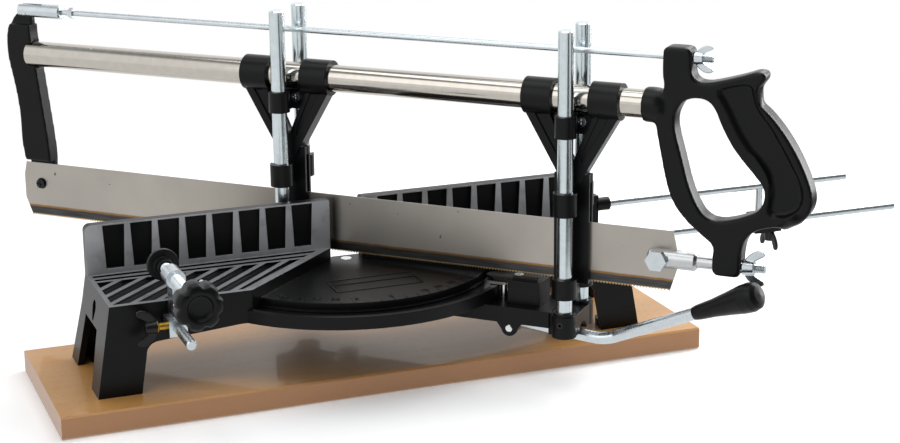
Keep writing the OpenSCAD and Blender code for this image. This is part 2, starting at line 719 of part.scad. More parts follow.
// Arm lock: housing, plunger with its shoe, and spring
house_out = 11.5;
house_l = 27;
house_from = rim_r + house_out;
house_to = house_from + house_l;
house_half = 12;
house_top = 64;
house_pad = 2;
roof_t = 2.5;
roof_reach = 3.4;
roof_tip = groove_in + roof_reach;
house_wall = 3;
shoe_w = 8;
shoe_gap = 0.06;
shoe_end_gap = 2;
shoe_bottom = ledge_z - groove_depth + shoe_gap;
shoe_headroom = 2.6;
shoe_top = house_top - roof_t - shoe_headroom;
shoe_arm_t = 2.4;
shoe_inset = 2;
shoe_from = groove_in + shoe_inset;
house_screw_d = 4;
house_post_d = 9;
house_screw_inset = 5;
house_screw_l = house_from + house_screw_inset;
house_screw_head = 7.4;

module lock_housing() color("#1f2023") along_arm() difference() {
    union() {
        translate([house_from, -house_half, arm_top])
            cube([house_to - house_from, 2 * house_half, house_top - arm_top]);
        translate([house_from + house_wall, -house_half + house_wall, house_top])
            cube([house_to - house_from - 2 * house_wall, 2 * (house_half - house_wall), house_pad]);
        translate([0, 0, house_top - roof_t]) linear_extrude(roof_t) polygon([
            [house_from + over, -house_half], [house_from + over, house_half],
            [house_from - house_half, house_half], [roof_tip, house_wall], [roof_tip, -house_wall],
            [house_from - house_half, -house_half]]);
    }
    difference() {
        translate([house_from + house_wall, -house_half + house_wall, arm_top - over])
            cube([house_to - house_from - 2 * house_wall, 2 * (house_half - house_wall),
                house_top - arm_top - house_wall + over]);
        translate([house_screw_l, 0, arm_top - over]) cylinder(d = house_post_d, h = house_top);
    }
    translate([house_screw_l, 0, arm_top - over]) cylinder(d = house_screw_d, h = house_top);
    translate([house_screw_l, 0, house_top]) cylinder(d = house_screw_head, h = house_pad + over);
}

module lock_housing_screw() color("#b9bdc2") along_arm() translate([house_screw_l, 0, 0]) {
    translate([0, 0, arm_top - arm_plate]) cylinder(d = house_screw_d, h = house_top - arm_top + arm_plate);
    translate([0, 0, house_top]) difference() {
        cylinder(d = house_screw_head, h = house_pad);
        translate([0, 0, house_pad / 2]) hexagon_bar(house_screw_d / 2, house_pad);
    }
}

module lock_plunger() color("#8d9196") along_arm() union() {
    translate([plunger_l, 0, plunger_foot]) cylinder(d = plunger_d, h = shoe_top - plunger_foot);
    translate([plunger_l, 0, plunger_foot]) cylinder(d = spring_d, h = spring_wire);
    translate([shoe_from, -shoe_w / 2, shoe_top - shoe_arm_t])
        cube([plunger_l + plunger_d / 2 - shoe_from, shoe_w, shoe_arm_t]);
    translate([shoe_from, -shoe_w / 2, shoe_bottom])
        cube([groove_out - shoe_from - shoe_end_gap, shoe_w, shoe_top - shoe_bottom]);
}

spring_d = 9;
spring_wire = 1;
spring_turns = 4;
spring_steps = 8;
spring_sides = 6;
plunger_reach = 3.6;
plunger_foot = arm_bottom - plunger_reach;
spring_from = plunger_foot + spring_wire + spring_wire / 2;
spring_rise = plunger_boss_z - spring_wire / 2 - spring_from;

module lock_spring() color("#9aa0a6") along_arm() translate([plunger_l, 0, spring_from]) {
    n = spring_turns * spring_steps;
    polyhedron(points = [for (i = [0 : n]) let (a = 360 * i / spring_steps) for (k = [0 : spring_sides - 1])
            let (r = (spring_d - spring_wire + spring_wire * cos(360 * k / spring_sides)) / 2)
            [r * cos(a), r * sin(a), spring_rise * i / n + sin(360 * k / spring_sides) * spring_wire / 2]],
        faces = tube_faces(n + 1, spring_sides));
}

// Release lever: hub, finger under the plunger, bent rod, and a moulded grip
hub_d = 12;
hub_half = channel_half - slack_fit;
finger_r = 2.5;
lever_low_out = 20.7;
lever_reach = 85;
lever_low_l = front_l + lever_low_out;
lever_low_z = 21;
lever_end_l = lever_low_l + lever_reach;
lever_end_off = 16;
lever_end_z = 57;
lever_bend = 40;
lever_slope = 24;
lever_grip_l = 61;
lever_tang_l = 30;

lever_sides = 20;
lever_steps = 6;
lever_bend_at = [lever_low_l, lever_low_z + lever_bend];
lever_hub_reach = sqrt(pow(norm([lever_l, lever_z] - lever_bend_at), 2) - pow(lever_bend, 2));
lever_drop = atan2(lever_bend_at[1] - lever_z, lever_bend_at[0] - lever_l) - atan2(lever_bend, lever_hub_reach);
lever_arc = [for (i = [0 : lever_steps]) let (a = lever_drop + (lever_slope - lever_drop) * i / lever_steps)
    [lever_bend_at[0] + lever_bend * sin(a), 0, lever_bend_at[1] - lever_bend * cos(a)]];
lever_neck = [lever_end_l, -lever_end_off, lever_end_z];
lever_run = (lever_neck - lever_arc[lever_steps]) / norm(lever_neck - lever_arc[lever_steps]);
lever_path = concat([[lever_l, 0, lever_z]], lever_arc, [lever_neck, lever_neck + lever_run * lever_tang_l]);

// The rod: one ring of points at each place on its middle line, joined by walls and closed at both ends
function ring_at(path, i, sides, d) = let (a = path[max(i - 1, 0)], b = path[min(i + 1, len(path) - 1)],
    run = (b - a) / norm(b - a), across = [0, 1, 0] - run[1] * run, side = across / norm(across),
    up = cross(side, run))
    [for (k = [0 : sides - 1]) path[i] + (up * cos(360 * k / sides) + side * sin(360 * k / sides)) * d / 2];

module bent_rod() polyhedron(points = [for (i = [0 : len(lever_path) - 1]) each
    ring_at(lever_path, i, lever_sides, lever_d)], faces = tube_faces(len(lever_path), lever_sides));

function tube_faces(n, sides) = concat([[for (k = [0 : sides - 1]) k]],
    [for (i = [0 : n - 2]) for (k = [0 : sides - 1]) let (a = i * sides + k, b = i * sides + (k + 1) % sides)
        each [[a, a + sides, b], [b, a + sides, b + sides]]],
    [[for (k = [sides - 1 : -1 : 0]) (n - 1) * sides + k]]);

module release_lever() color("#cdd3da") along_arm() difference() {
    union() {
        translate([lever_l, hub_half, lever_z]) rotate([90, 0, 0]) cylinder(d = hub_d, h = 2 * hub_half);
        bent_rod();
        translate([plunger_l, finger_r, plunger_foot - slack_fit - finger_r])
            rotate([90, 0, 0]) cylinder(r = finger_r, h = 2 * finger_r);
        translate([plunger_l, -finger_r, plunger_foot - slack_fit - 2 * finger_r])
            cube([lever_l - plunger_l, 2 * finger_r, finger_r]);
    }
    translate([lever_l, arm_half, lever_z]) rotate([90, 0, 0])
        cylinder(r = lever_pin_d / 2 + run_fit, h = 2 * arm_half);
}

grip_radius_share = [[0, 0.3], [0, 0.46], [0.06, 0.52], [0.3, 0.62], [0.55, 0.8], [0.75, 0.97], [0.87, 1],
    [0.95, 0.88], [0.99, 0.6], [1, 0]];
module lever_grip() color("#1b1c1e") along_arm() translate(lever_neck)
    rotate([0, 90 - asin(lever_run[2]), atan2(lever_run[1], lever_run[0])]) difference() {
        rotate_extrude() polygon(concat([[0, 0]],
            [for (p = grip_radius_share) [p[1] * lever_grip_d / 2, p[0] * lever_grip_l]]));
        translate([0, 0, -over]) cylinder(d = lever_d, h = lever_tang_l + over);
    }

module lever_pin() color("#dfe2e5") along_arm() translate([lever_l, arm_half + pin_stand, lever_z])
    rotate([90, 0, 0]) chamfered_bar(lever_pin_d, 2 * (arm_half + pin_stand), edge_cut / 2);

// Carriers: two collars on the tube, a vee down to the blade guide, and rings on the posts
collar_d = 29;
collar_w = 24;
collar_s = 27.5;
vee_t = 14;
vee_outer = 38.7;
vee_inner = 18.3;
vee_drop = 11;
vee_top = tube_z - vee_drop;
vee_crotch = 166;
vee_foot = 148;
vee_foot_half = 7;
vee_cut = 1;
vee_crotch_half = 2;
vee_rim = 4;
vee_sink = 1.5;
panel_foot_in = 8;
panel_foot_out = 8.8;
panel_foot_z = 164;
ring_d = 17.4;
top_ring_z = 186.8;
top_ring_h = 17;
low_ring_d = 18.8;
low_ring_z = 124.5;
low_ring_h = 18.5;
base_ring_d = 19.6;
base_ring_z = 57.5;
base_ring_h = 16;
guide_half = 14.5;
guide_t = 4;
guide_gap = 0.55;
guide_wide = 2.2;
guide_foot = 66.6;
bridge_t = 7;
clip_mouth = 8;
far_mouth_turn = 80;
near_mouth_turn = 150;
base_web_h = guide_foot - base_ring_z;

function vee(top) = [[-vee_outer, top], [-vee_outer + vee_cut, top - 2 * vee_cut], [-vee_foot_half, vee_foot],
    [vee_foot_half, vee_foot], [vee_outer - vee_cut, top - 2 * vee_cut], [vee_outer, top], [vee_inner, top],
    [vee_crotch_half, vee_crotch], [-vee_crotch_half, vee_crotch], [-vee_inner, top]];

module on_posts() for (s = [-1, 1]) translate([0, s * post_off, 0]) children();

module carrier() color("#1f2023") on_board() difference() {
    union() {
        for (s = [-1, 1]) translate([s * collar_s - collar_w / 2, 0, tube_z]) rod_x(collar_d, collar_w);
        difference() {
            across_y(vee_t) polygon(vee(vee_top));
            for (s = [-1, 1]) translate([0, s * vee_t / 2, 0]) across_y(2 * vee_sink) for (m = [-1, 1])
                polygon([[m * (vee_outer - 2 * vee_rim), vee_top - over], [m * (vee_inner + vee_rim), vee_top - over],
                    [m * panel_foot_in, vee_crotch + vee_rim], [m * panel_foot_out, panel_foot_z]]);
        }
        // top rings hang from a saddle under the tube
        on_posts() translate([0, 0, top_ring_z]) cylinder(d = ring_d, h = top_ring_h);
        translate([-bridge_t / 2, -post_off, top_ring_z]) cube([bridge_t, 2 * post_off, top_ring_h]);
        translate([-vee_inner - over, -bridge_t / 2, top_ring_z])
            cube([2 * (vee_inner + over), bridge_t, tube_z - tube_d / 2 - top_ring_z - slack_fit]);
        on_posts() translate([0, 0, low_ring_z]) cylinder(d = low_ring_d, h = low_ring_h);
        translate([-bridge_t / 2, -post_off, low_ring_z]) cube([bridge_t, 2 * post_off, low_ring_h]);
        on_posts() translate([0, 0, base_ring_z]) cylinder(d = base_ring_d, h = base_ring_h);
        translate([-bridge_t / 2, -post_off, base_ring_z]) cube([bridge_t, 2 * post_off, base_web_h - slack_fit]);
        for (s = [-1, 1]) translate([-guide_half, s > 0 ? guide_gap : -guide_gap - guide_t, guide_foot - slack_fit])
            cube([2 * guide_half, guide_t, vee_foot + vee_foot_half - guide_foot]);
        translate([-vee_foot_half, -guide_gap - guide_t, vee_foot - over])
            cube([2 * vee_foot_half, 2 * (guide_gap + guide_t), vee_foot_half]);
    }
    for (s = [-1, 1]) translate([s * collar_s - collar_w, 0, tube_z]) rod_x(tube_d + 2 * run_fit, 2 * collar_w);
    translate([-collar_s, 0, tube_z]) rod_x(tube_d + 2 * slack_fit, 2 * collar_s);
    on_posts() translate([0, 0, base_ring_z - over]) cylinder(d = post_d + 2 * run_fit, h = post_top);
    // blade slot, wider above the blade
    translate([-guide_half - over, -guide_gap, guide_foot - slack_fit])
        cube([2 * (guide_half + over), 2 * guide_gap, blade_z + blade_h + over - guide_foot]);
    translate([-guide_half - over, -guide_wide, blade_z + blade_h])
        cube([2 * (guide_half + over), 2 * guide_wide, vee_foot - blade_z - blade_h]);
    // mouths of the two spring clips
    for (s = [-1, 1]) translate([0, s * post_off, low_ring_z - over]) rotate([0, 0, s > 0 ? far_mouth_turn : near_mouth_turn])
        translate([0, -clip_mouth / 2, 0]) cube([low_ring_d, clip_mouth, low_ring_h + 2 * over]);
    translate([carrier_screw_s, -post_off, carrier_screw_z]) rod_y(carrier_screw_d, post_off);
}

carrier_screw_s = 8;
carrier_screw_z = 197;
carrier_screw_d = 4;
carrier_head_h = 2.4;
carrier_slot = 4.8;
module carrier_screw() color("#cdd3da") on_board() translate([carrier_screw_s, -bridge_t / 2, carrier_screw_z])
    rotate([90, 0, 0]) {
        translate([0, 0, -bridge_t / 2]) cylinder(d = carrier_screw_d, h = bridge_t / 2);
        difference() {
            cylinder(d = 2 * carrier_screw_d, h = carrier_head_h);
            translate([0, 0, carrier_head_h / 2]) cross_slot(carrier_slot, carrier_screw_d / 4);
        }
    }

module at_carrier(l) rotate([0, 0, -mitre_angle]) translate([l, 0, 0]) children();
module front_carrier() at_carrier(front_l) carrier();
module rear_carrier() at_carrier(-rear_l) carrier();
module front_carrier_screw() at_carrier(front_l) carrier_screw();
module rear_carrier_screw() at_carrier(-rear_l) carrier_screw();

// Saw frame: tube, frame arm, handle and tension rod
tube_inset = 14;
tube_wall = 1.5;
arm_w = 40;
arm_span = 170;
arm_left_out = 22;
arm_left = tube_left + arm_left_out;
arm_foot = 86;
arm_outline_share = [[0.555, 0.99], [0.25, 0.96], [0.08, 0.89], [0.02, 0.76], [0.2, 0.575], [0.275, 0.425],
    [0.26, 0.285], [0.34, 0.19], [0.34, 0], [0.9, 0], [0.99, 0.19], [0.95, 0.32], [0.87, 0.47],
    [0.76, 0.685], [0.675, 0.82], [0.645, 0.885], [0.69, 0.94]];
tongue_t = 6;
tongue_z = 240;
tang_z = 119;
tang_t = 6;
clevis_pin_out = 1;
clevis_pin_x = tube_left + clevis_pin_out;
clevis_pin_drop = 1.5;
clevis_pin_z = tension_z - clevis_pin_drop;
clevis_pin_d = 4;
blade_screw_in = 2.3;
blade_screw_x = tube_left - blade_screw_in;
blade_screw_z = 97;
blade_screw_d = 5;
blade_screw_head = 10;
blade_screw_crown = 8;
blade_screw_slot = 6;

module frame_tube() color("#b7b3ab") along_arm() translate([-tube_left, 0, tube_z]) difference() {
    rod_x(tube_d, tube_left + tube_right + tube_inset);
    translate([-over, 0, 0]) rod_x(tube_d - 2 * tube_wall, tube_left + tube_right + tube_inset + 2 * over);
}

module frame_arm() color("#1c1d20") along_arm() difference() {
    translate([-arm_left, 0, arm_foot]) across_y(arm_t) polygon(eased(eased(sized(arm_outline_share, arm_w, arm_span))));
    for (s = [-1, 1]) translate([-arm_left - over, s > 0 ? tongue_t / 2 : -arm_t - tongue_t / 2, tongue_z])
        cube([arm_w + 2 * over, arm_t, arm_span]);
    // rebate for the blade, and a thin tang behind it
    translate([-arm_left - over, -arm_t, arm_foot - over])
        cube([arm_w + 2 * over, arm_t + blade_t / 2 + run_fit, tang_z - arm_foot + over]);
    translate([-arm_left - over, blade_t / 2 + tang_t, arm_foot - over])
        cube([arm_w + 2 * over, arm_t, tang_z - arm_foot + over]);
    translate([-tube_left - run_fit, 0, tube_z]) rod_x(tube_d + run_fit, arm_w);
    translate([-clevis_pin_x, -arm_t, clevis_pin_z]) rod_y(clevis_pin_d, 2 * arm_t);
    translate([-blade_screw_x, -arm_t, blade_screw_z]) rod_y(blade_screw_d, 2 * arm_t);
}

handle_out = 9.5;
handle_x = tube_right + handle_out;
handle_z = 86;
handle_w = 125;
handle_h = 176;
handle_outline_share = [[0.05, 0.95], [0.055, 0.995], [0.14, 0.995], [0.23, 0.995], [0.23, 0.93], [0.235, 0.865],
    [0.305, 0.845], [0.42, 0.865], [0.56, 0.895], [0.65, 0.92], [0.695, 0.9], [0.68, 0.87], [0.635, 0.835],
    [0.63, 0.78], [0.705, 0.745], [0.8, 0.67], [0.89, 0.575], [0.96, 0.475], [1, 0.39], [0.99, 0.325],
    [0.94, 0.28], [0.855, 0.25], [0.735, 0.24], [0.65, 0.22], [0.59, 0.175], [0.57, 0.115], [0.57, 0.06],
    [0.57, 0], [0.48, 0], [0.39, 0], [0.39, 0.08], [0.4, 0.135], [0.32, 0.175], [0.215, 0.235], [0.13, 0.31],
    [0.085, 0.4], [0.035, 0.57], [0.005, 0.68], [0.025, 0.75], [0.065, 0.81], [0.05, 0.875]];
opening_outline_share = [[0.16, 0.74], [0.19, 0.765], [0.255, 0.78], [0.33, 0.775], [0.38, 0.745], [0.43, 0.66],
    [0.495, 0.58], [0.57, 0.515], [0.65, 0.455], [0.7, 0.41], [0.705, 0.36], [0.67, 0.31], [0.6, 0.285],
    [0.51, 0.26], [0.41, 0.245], [0.34, 0.26], [0.29, 0.3], [0.23, 0.39], [0.185, 0.51], [0.135, 0.63],
    [0.13, 0.69]];
// Middle line of the grip and its half width across, both in shares of the handle's size
grip_line_share = [[0.61, 0.86], [0.575, 0.8], [0.58, 0.72], [0.65, 0.63], [0.73, 0.54], [0.8, 0.45],
    [0.85, 0.37], [0.845, 0.3], [0.78, 0.265]];
grip_half_share = [0.05, 0.085, 0.1, 0.11, 0.115, 0.115, 0.11, 0.1, 0.07];
grip_panel_share = [[0.385, 0.82], [0.49, 0.845], [0.61, 0.86], [0.625, 0.79], [0.65, 0.745], [0.73, 0.68],
    [0.805, 0.595], [0.87, 0.515], [0.92, 0.45], [0.94, 0.38], [0.91, 0.325], [0.83, 0.295], [0.72, 0.3],
    [0.745, 0.375], [0.735, 0.465], [0.67, 0.53], [0.6, 0.575], [0.535, 0.64], [0.485, 0.71], [0.44, 0.77]];
grip_panel_floor = 5;
tube_boss_d = 27.5;
tube_boss_l = 9;
shank_d = 9.5;
shank_z = 93.3;
grip_sides = 16;

function grip_ring(i) = let (n = len(grip_line_share) - 1, p = grip_line_share[i],
    a = grip_line_share[max(i - 1, 0)], b = grip_line_share[min(i + 1, n)],
    along = [(b[0] - a[0]) * handle_w, (b[1] - a[1]) * handle_h], side = [along[1], -along[0]] / norm(along),
    half = grip_half_share[i] * handle_w, fat = i == 0 || i == n ? handle_t / 2 : grip_t / 2)
    [for (k = [0 : grip_sides - 1]) let (c = cos(360 * k / grip_sides), s = sin(360 * k / grip_sides))
        [p[0] * handle_w + side[0] * half * c, fat * s, p[1] * handle_h + side[1] * half * c]];

module grip_swell() {
    rings = [for (i = [0 : len(grip_line_share) - 1]) grip_ring(i)];
    polyhedron(points = [for (r = rings) each r], faces = tube_faces(len(rings), grip_sides));
}

module saw_handle() color("#1b1c1e") along_arm() difference() {
    union() {
        translate([handle_x, 0, handle_z]) difference() {
            union() {
                across_y(handle_t) polygon(eased(sized(handle_outline_share, handle_w, handle_h)));
                grip_swell();
            }
            across_y(2 * handle_t) polygon(eased(sized(opening_outline_share, handle_w, handle_h)));
            for (s = [-1, 1]) translate([0, s * (grip_panel_floor + grip_t / 2), 0])
                across_y(grip_t) polygon(eased(sized(grip_panel_share, handle_w, handle_h)));
        }
        translate([tube_right, 0, tube_z]) rod_x(tube_boss_d, tube_boss_l);
        translate([tube_right + tube_boss_l, 0, tube_z]) sphere(d = tube_boss_d);
    }
    translate([tube_right - tube_boss_d, 0, tube_z]) rod_x(tube_d + run_fit, tube_boss_d + tube_inset + run_fit);
    translate([handle_x - over, 0, tension_z]) rod_x(tension_d + 2 * slack_fit, handle_w);
    translate([handle_x, 0, shank_z]) rod_x(shank_d + 2 * run_fit, handle_w);
}

rod_in = 18;
rod_past = 15.25;
top_boss_share = 0.23;
top_boss_end = handle_x + handle_w * top_boss_share;
rod_from = tube_left - rod_in;
rod_to = top_boss_end + rod_past;
tension_barrel_d = 12.2;
tension_barrel_out = 8;
tension_barrel_l = 43;
tension_barrel_from = tube_left + tension_barrel_out;
tension_barrel_to = tension_barrel_from - tension_barrel_l;
fork_gap = tongue_t + slack_fit;
fork_l = 24;
lock_nut_in = 10.3;
lock_nut_x = tension_barrel_to - lock_nut_in;
lock_nut_h = 4;
lock_nut_af = 8;
small_wing_span = 21;
small_wing_reach = 14;
small_wing_hub_d = 9.5;
small_wing_hub_l = 7;

module tension_rod() color("#cdd3da") along_arm() translate([-rod_from, 0, tension_z])
    rotate([0, 90, 0]) chamfered_bar(tension_d, rod_from + rod_to, edge_cut / 2);

module tension_clevis() color("#c7cbd0") along_arm() translate([-tension_barrel_from, 0, tension_z]) difference() {
    rotate([0, 90, 0]) chamfered_bar(tension_barrel_d, tension_barrel_from - tension_barrel_to, edge_cut);
    translate([-over, -fork_gap / 2, -tension_barrel_d])
        cube([fork_l + over, fork_gap, 2 * tension_barrel_d]);
    translate([tension_barrel_from - rod_from, 0, 0]) rod_x(tension_d, rod_from);
    translate([tension_barrel_from - clevis_pin_x, -arm_t, clevis_pin_z - tension_z]) rod_y(clevis_pin_d, 2 * arm_t);
}

module clevis_pin() color("#9a9ea3") along_arm()
    translate([-clevis_pin_x, -tension_barrel_d / 2, clevis_pin_z]) rod_y(clevis_pin_d, tension_barrel_d);

module tension_lock_nut() color("#b9bdc2") along_arm() translate([-lock_nut_x - lock_nut_h / 2, 0, tension_z])
    rotate([0, 90, 0]) difference() {
        hexagon_bar(lock_nut_af, lock_nut_h);
        translate([0, 0, -over]) cylinder(d = tension_d, h = lock_nut_h + 2 * over);
    }

// A wing nut along Z
module wing_nut(span, reach, hub_d, hub_l, bore) difference() {
    union() {
        cylinder(d1 = hub_d, d2 = hub_d - 2 * edge_cut, h = hub_l);
        wings(span, reach, wing_t);
    }
    translate([0, 0, -over]) cylinder(r = bore / 2 + run_fit, h = reach + 2 * over);
}

module tension_wing_nut() color("#d9dcdf") along_arm() translate([top_boss_end + slack_fit, 0, tension_z])
    rotate([0, 90, 0]) wing_nut(small_wing_span, small_wing_reach, small_wing_hub_d, small_wing_hub_l, tension_d);

// Blade with its teeth, the screw at its far end, and the tensioner at the handle
blade_head_top = 12.3;
blade_head_mid = 15.2;
blade_head_low = 8.7;
blade_tail_top = 15.7;
blade_tail_mid = 21.2;
blade_tail_low = 13.5;
blade_left_top = tube_left + blade_head_top;
blade_left_mid = tube_left + blade_head_mid;
blade_left_low = tube_left + blade_head_low;
blade_right_top = handle_x + blade_tail_top;
blade_right_mid = handle_x + blade_tail_mid;
blade_right_low = handle_x + blade_tail_low;
left_low_share = 0.33;
left_high_share = 0.76;
gullet_share = 0.65;
tip_share = 0.1;
tooth_count = floor((blade_left_low + blade_right_low) / tooth_pitch);
bolt_in = 5;
bolt_x = handle_x + bolt_in;
bolt_d = 8;
bolt_head_af = 15;
bolt_head_h = 5.5;
barrel_d = 15;
spot_depth = 1;
spot_gap = 1;
barrel_in = 4;
barrel_l = 39.6;
barrel_from = handle_x - barrel_in;
barrel_to = barrel_from + barrel_l;
stud_d = 6;
stud_past = 16.25;
handle_boss_share = 0.57;
handle_boss_end = handle_x + handle_w * handle_boss_share;
shank_in = 6.25;
shank_end = handle_boss_end - shank_in;
stud_end = handle_boss_end + stud_past;
big_wing_span = 28;
big_wing_reach = 16.5;
big_wing_hub_d = 12.5;
big_wing_hub_l = 9;

module saw_blade() color("#b1aea8") along_arm() difference() {
    across_y(blade_t) polygon(concat(
        [[-blade_left_low, blade_z], [-blade_left_mid, blade_z + blade_h * left_low_share],
            [-blade_left_mid, blade_z + blade_h * left_high_share], [-blade_left_top, blade_z + blade_h],
            [blade_right_top, blade_z + blade_h], [blade_right_mid, blade_z + blade_h / 2],
            [blade_right_low, blade_z]],
        [for (i = [tooth_count - 1 : -1 : 0]) for (q = [0, 1])
            [-blade_left_low + (i + (q == 0 ? gullet_share : tip_share)) * tooth_pitch,
                blade_z + (q == 0 ? tooth_h : 0)]]));
    translate([-blade_screw_x, -arm_t, blade_screw_z]) rod_y(blade_screw_d, 2 * arm_t);
    translate([bolt_x, -arm_t, shank_z]) rod_y(bolt_d, 2 * arm_t);
}

module blade_screw() color("#9a9ea3") along_arm() translate([-blade_screw_x, -blade_t / 2, blade_screw_z]) {
    rod_y(blade_screw_d, blade_t + tang_t + 2 * over);
    rotate([90, 0, 0]) difference() {
        cylinder(d1 = blade_screw_head, d2 = blade_screw_crown, h = blade_screw_d / 2);
        translate([0, 0, blade_screw_d / 4]) cross_slot(blade_screw_slot, blade_screw_d / 5);
    }
}

module blade_clevis() color("#b4b6b8") along_arm() difference() {
    union() {
        translate([barrel_from, 0, shank_z]) rotate([0, 90, 0]) chamfered_bar(barrel_d, barrel_to - barrel_from, 2 * edge_cut);
        translate([barrel_to - over, 0, shank_z]) rod_x(shank_d, shank_end - barrel_to + over);
        translate([shank_end - over, 0, shank_z]) rod_x(stud_d, stud_end - shank_end + over);
    }
    translate([bolt_x, -barrel_d / 2 + spot_depth, shank_z]) rotate([90, 0, 0])
        cylinder(d = bolt_head_af / cos(180 / 6) + spot_gap, h = barrel_d);
    translate([barrel_from - over, -blade_t / 2 - run_fit, shank_z - barrel_d])
        cube([blade_right_mid - barrel_from + 2 * over, blade_t + 2 * run_fit, 2 * barrel_d]);
    translate([bolt_x, -arm_t, shank_z]) rod_y(bolt_d, 2 * arm_t);
}

module blade_clevis_bolt() color("#c4c7ca") along_arm() translate([bolt_x, 0, shank_z]) {
    translate([0, -barrel_d / 2 + spot_depth, 0]) rod_y(bolt_d, barrel_d);
    translate([0, -barrel_d / 2 + spot_depth, 0]) rotate([90, 0, 0]) hexagon_bar(bolt_head_af, bolt_head_h);
}

module blade_wing_nut() color("#d9dcdf") along_arm() translate([handle_boss_end + slack_fit, 0, shank_z])
    rotate([0, 90, 0]) wing_nut(big_wing_span, big_wing_reach, big_wing_hub_d, big_wing_hub_l, stud_d);

base_board();
board_screws();
base_casting();
pivot_bolt();
pivot_washers();
pivot_nut();
clamp_rod();
clamp_block();
clamp_spindle();
clamp_lock_nut();
clamp_pad();
clamp_knob();
clamp_knob_cap();
clamp_wing_screw();
stop_guide_rod();
stop_clamp_block();
stop_rod();
stop_bar();
stop_wing_screw();
swing_arm();
front_post_near();
front_post_far();
rear_post_near();
rear_post_far();
post_set_screws();
lock_housing();
lock_housing_screw();
lock_plunger();
lock_spring();
release_lever();
lever_grip();
lever_pin();
front_carrier();
rear_carrier();
front_carrier_screw();
rear_carrier_screw();
frame_tube();
frame_arm();
saw_handle();
tension_rod();
tension_clevis();
clevis_pin();
tension_lock_nut();
tension_wing_nut();
saw_blade();
blade_screw();
blade_clevis();
blade_clevis_bolt();
blade_wing_nut();
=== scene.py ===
import math

import bpy
from mathutils import Matrix, Vector


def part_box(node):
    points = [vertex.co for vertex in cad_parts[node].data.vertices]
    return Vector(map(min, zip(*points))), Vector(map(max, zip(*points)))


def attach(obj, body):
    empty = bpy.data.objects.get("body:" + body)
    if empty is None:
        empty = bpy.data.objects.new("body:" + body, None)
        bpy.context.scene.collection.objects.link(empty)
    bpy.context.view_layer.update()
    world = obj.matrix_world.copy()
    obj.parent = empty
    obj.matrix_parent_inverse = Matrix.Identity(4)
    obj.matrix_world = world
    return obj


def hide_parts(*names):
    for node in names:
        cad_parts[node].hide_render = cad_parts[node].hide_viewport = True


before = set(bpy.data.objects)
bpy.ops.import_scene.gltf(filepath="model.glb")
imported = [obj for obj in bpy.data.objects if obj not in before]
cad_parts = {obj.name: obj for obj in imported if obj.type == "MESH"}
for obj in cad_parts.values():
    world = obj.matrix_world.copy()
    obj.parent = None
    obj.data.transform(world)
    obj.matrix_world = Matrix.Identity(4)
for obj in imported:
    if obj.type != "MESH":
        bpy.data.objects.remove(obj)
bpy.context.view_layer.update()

# ---- Studio ----
# A white paper sweep under a soft box overhead, one on each side and a strip light on the far right. The paper
# ends in front and on the right, and the room beyond it is darker. The camera sees it all as white, and only
# metal and gloss mirror the dark parts, as grey and black streaks.
def linear(hex_colour):
    """An sRGB colour, such as #b07c40, as linear red, green, blue and alpha."""
    channels = [int(hex_colour[i:i + 2], 16) / 255 for i in (1, 3, 5)]
    return [c / 12.92 if c <= 0.04045 else ((c + 0.055) / 1.055) ** 2.4 for c in channels] + [1]


def add_node(tree, kind, sockets=(), **settings):
    """Adds a node, sets its options, and fills each socket with a value or with a link."""
    made = tree.nodes.new(kind)
    for option, value in settings.items():
        setattr(made, option, value)
    for socket, value in dict(sockets).items():
        if isinstance(value, bpy.types.NodeSocket):
            tree.links.new(value, made.inputs[socket])
        else:
            made.inputs[socket].default_value = value
    return made


def camera_matrix(place, turn, tilt, roll):
    """A camera's place in metres and its angles in degrees: turned right, tilted down, then rolled."""
    turn, tilt, roll = math.radians(turn), math.radians(tilt), math.radians(roll)
    ahead = Vector((math.sin(turn) * math.cos(tilt), math.cos(turn) * math.cos(tilt), -math.sin(tilt)))
    right = Vector((math.cos(turn), -math.sin(turn), 0))
    over = right.cross(ahead)
    level_right = right * math.cos(roll) + over * math.sin(roll)
    level_over = over * math.cos(roll) - right * math.sin(roll)
    seen = Matrix((level_right, level_over, -ahead)).transposed().to_4x4()
    seen.translation = place
    return seen


camera = bpy.data.objects.new("camera", bpy.data.cameras.new("camera"))
bpy.context.collection.objects.link(camera)
camera.data.sensor_width = 36
camera.data.lens = 78.34
camera.matrix_world = camera_matrix((-0.48291, -1.49157, 0.55417), turn=21.12, tilt=15.82, roll=-0.52)
bpy.context.scene.camera = camera
bpy.context.scene.view_settings.view_transform = "Standard"

# Each lamp's place and size in metres, and its power in watts. All of them face the middle of the saw.
saw_middle = Vector((0, 0, 0.1))
lamps = {
    "soft_box_right": ((1.2, 0.5, 1.3), (1.2, 1.2), 20),
    "soft_box_overhead": ((0.0, 0.0, 1.8), (1.5, 1.5), 15),
    "soft_box_left": ((-1.2, -0.7, 1.2), (1.1, 1.1), 3),
    "strip_far_right": ((1.9, 0.2, 0.5), (0.5, 1.3), 19),
}
for lamp_name, (place, size, watts) in lamps.items():
    lamp = bpy.data.objects.new(lamp_name, bpy.data.lights.new(lamp_name, "AREA"))
    bpy.context.collection.objects.link(lamp)
    lamp.data.shape = "RECTANGLE"
    lamp.data.size, lamp.data.size_y = size
    lamp.data.energy = watts
    lamp.location = place
    lamp.rotation_euler = (saw_middle - Vector(place)).to_track_quat("-Z", "Y").to_euler()


def lay_over(tree, colour, *layers):
    """Lays colours over a first one. Each comes in smoothly while its measure goes from a start to an end value."""
    for measure, start, end, tone in layers:
        amount = add_node(tree, "ShaderNodeMapRange", {"Value": measure, "From Min": start, "From Max": end},
                          interpolation_type="SMOOTHSTEP").outputs["Result"]
        colour = add_node(tree, "ShaderNodeMix", {"Factor": amount, "A": colour, "B": tone},
                          data_type="RGBA").outputs[2]
    return colour


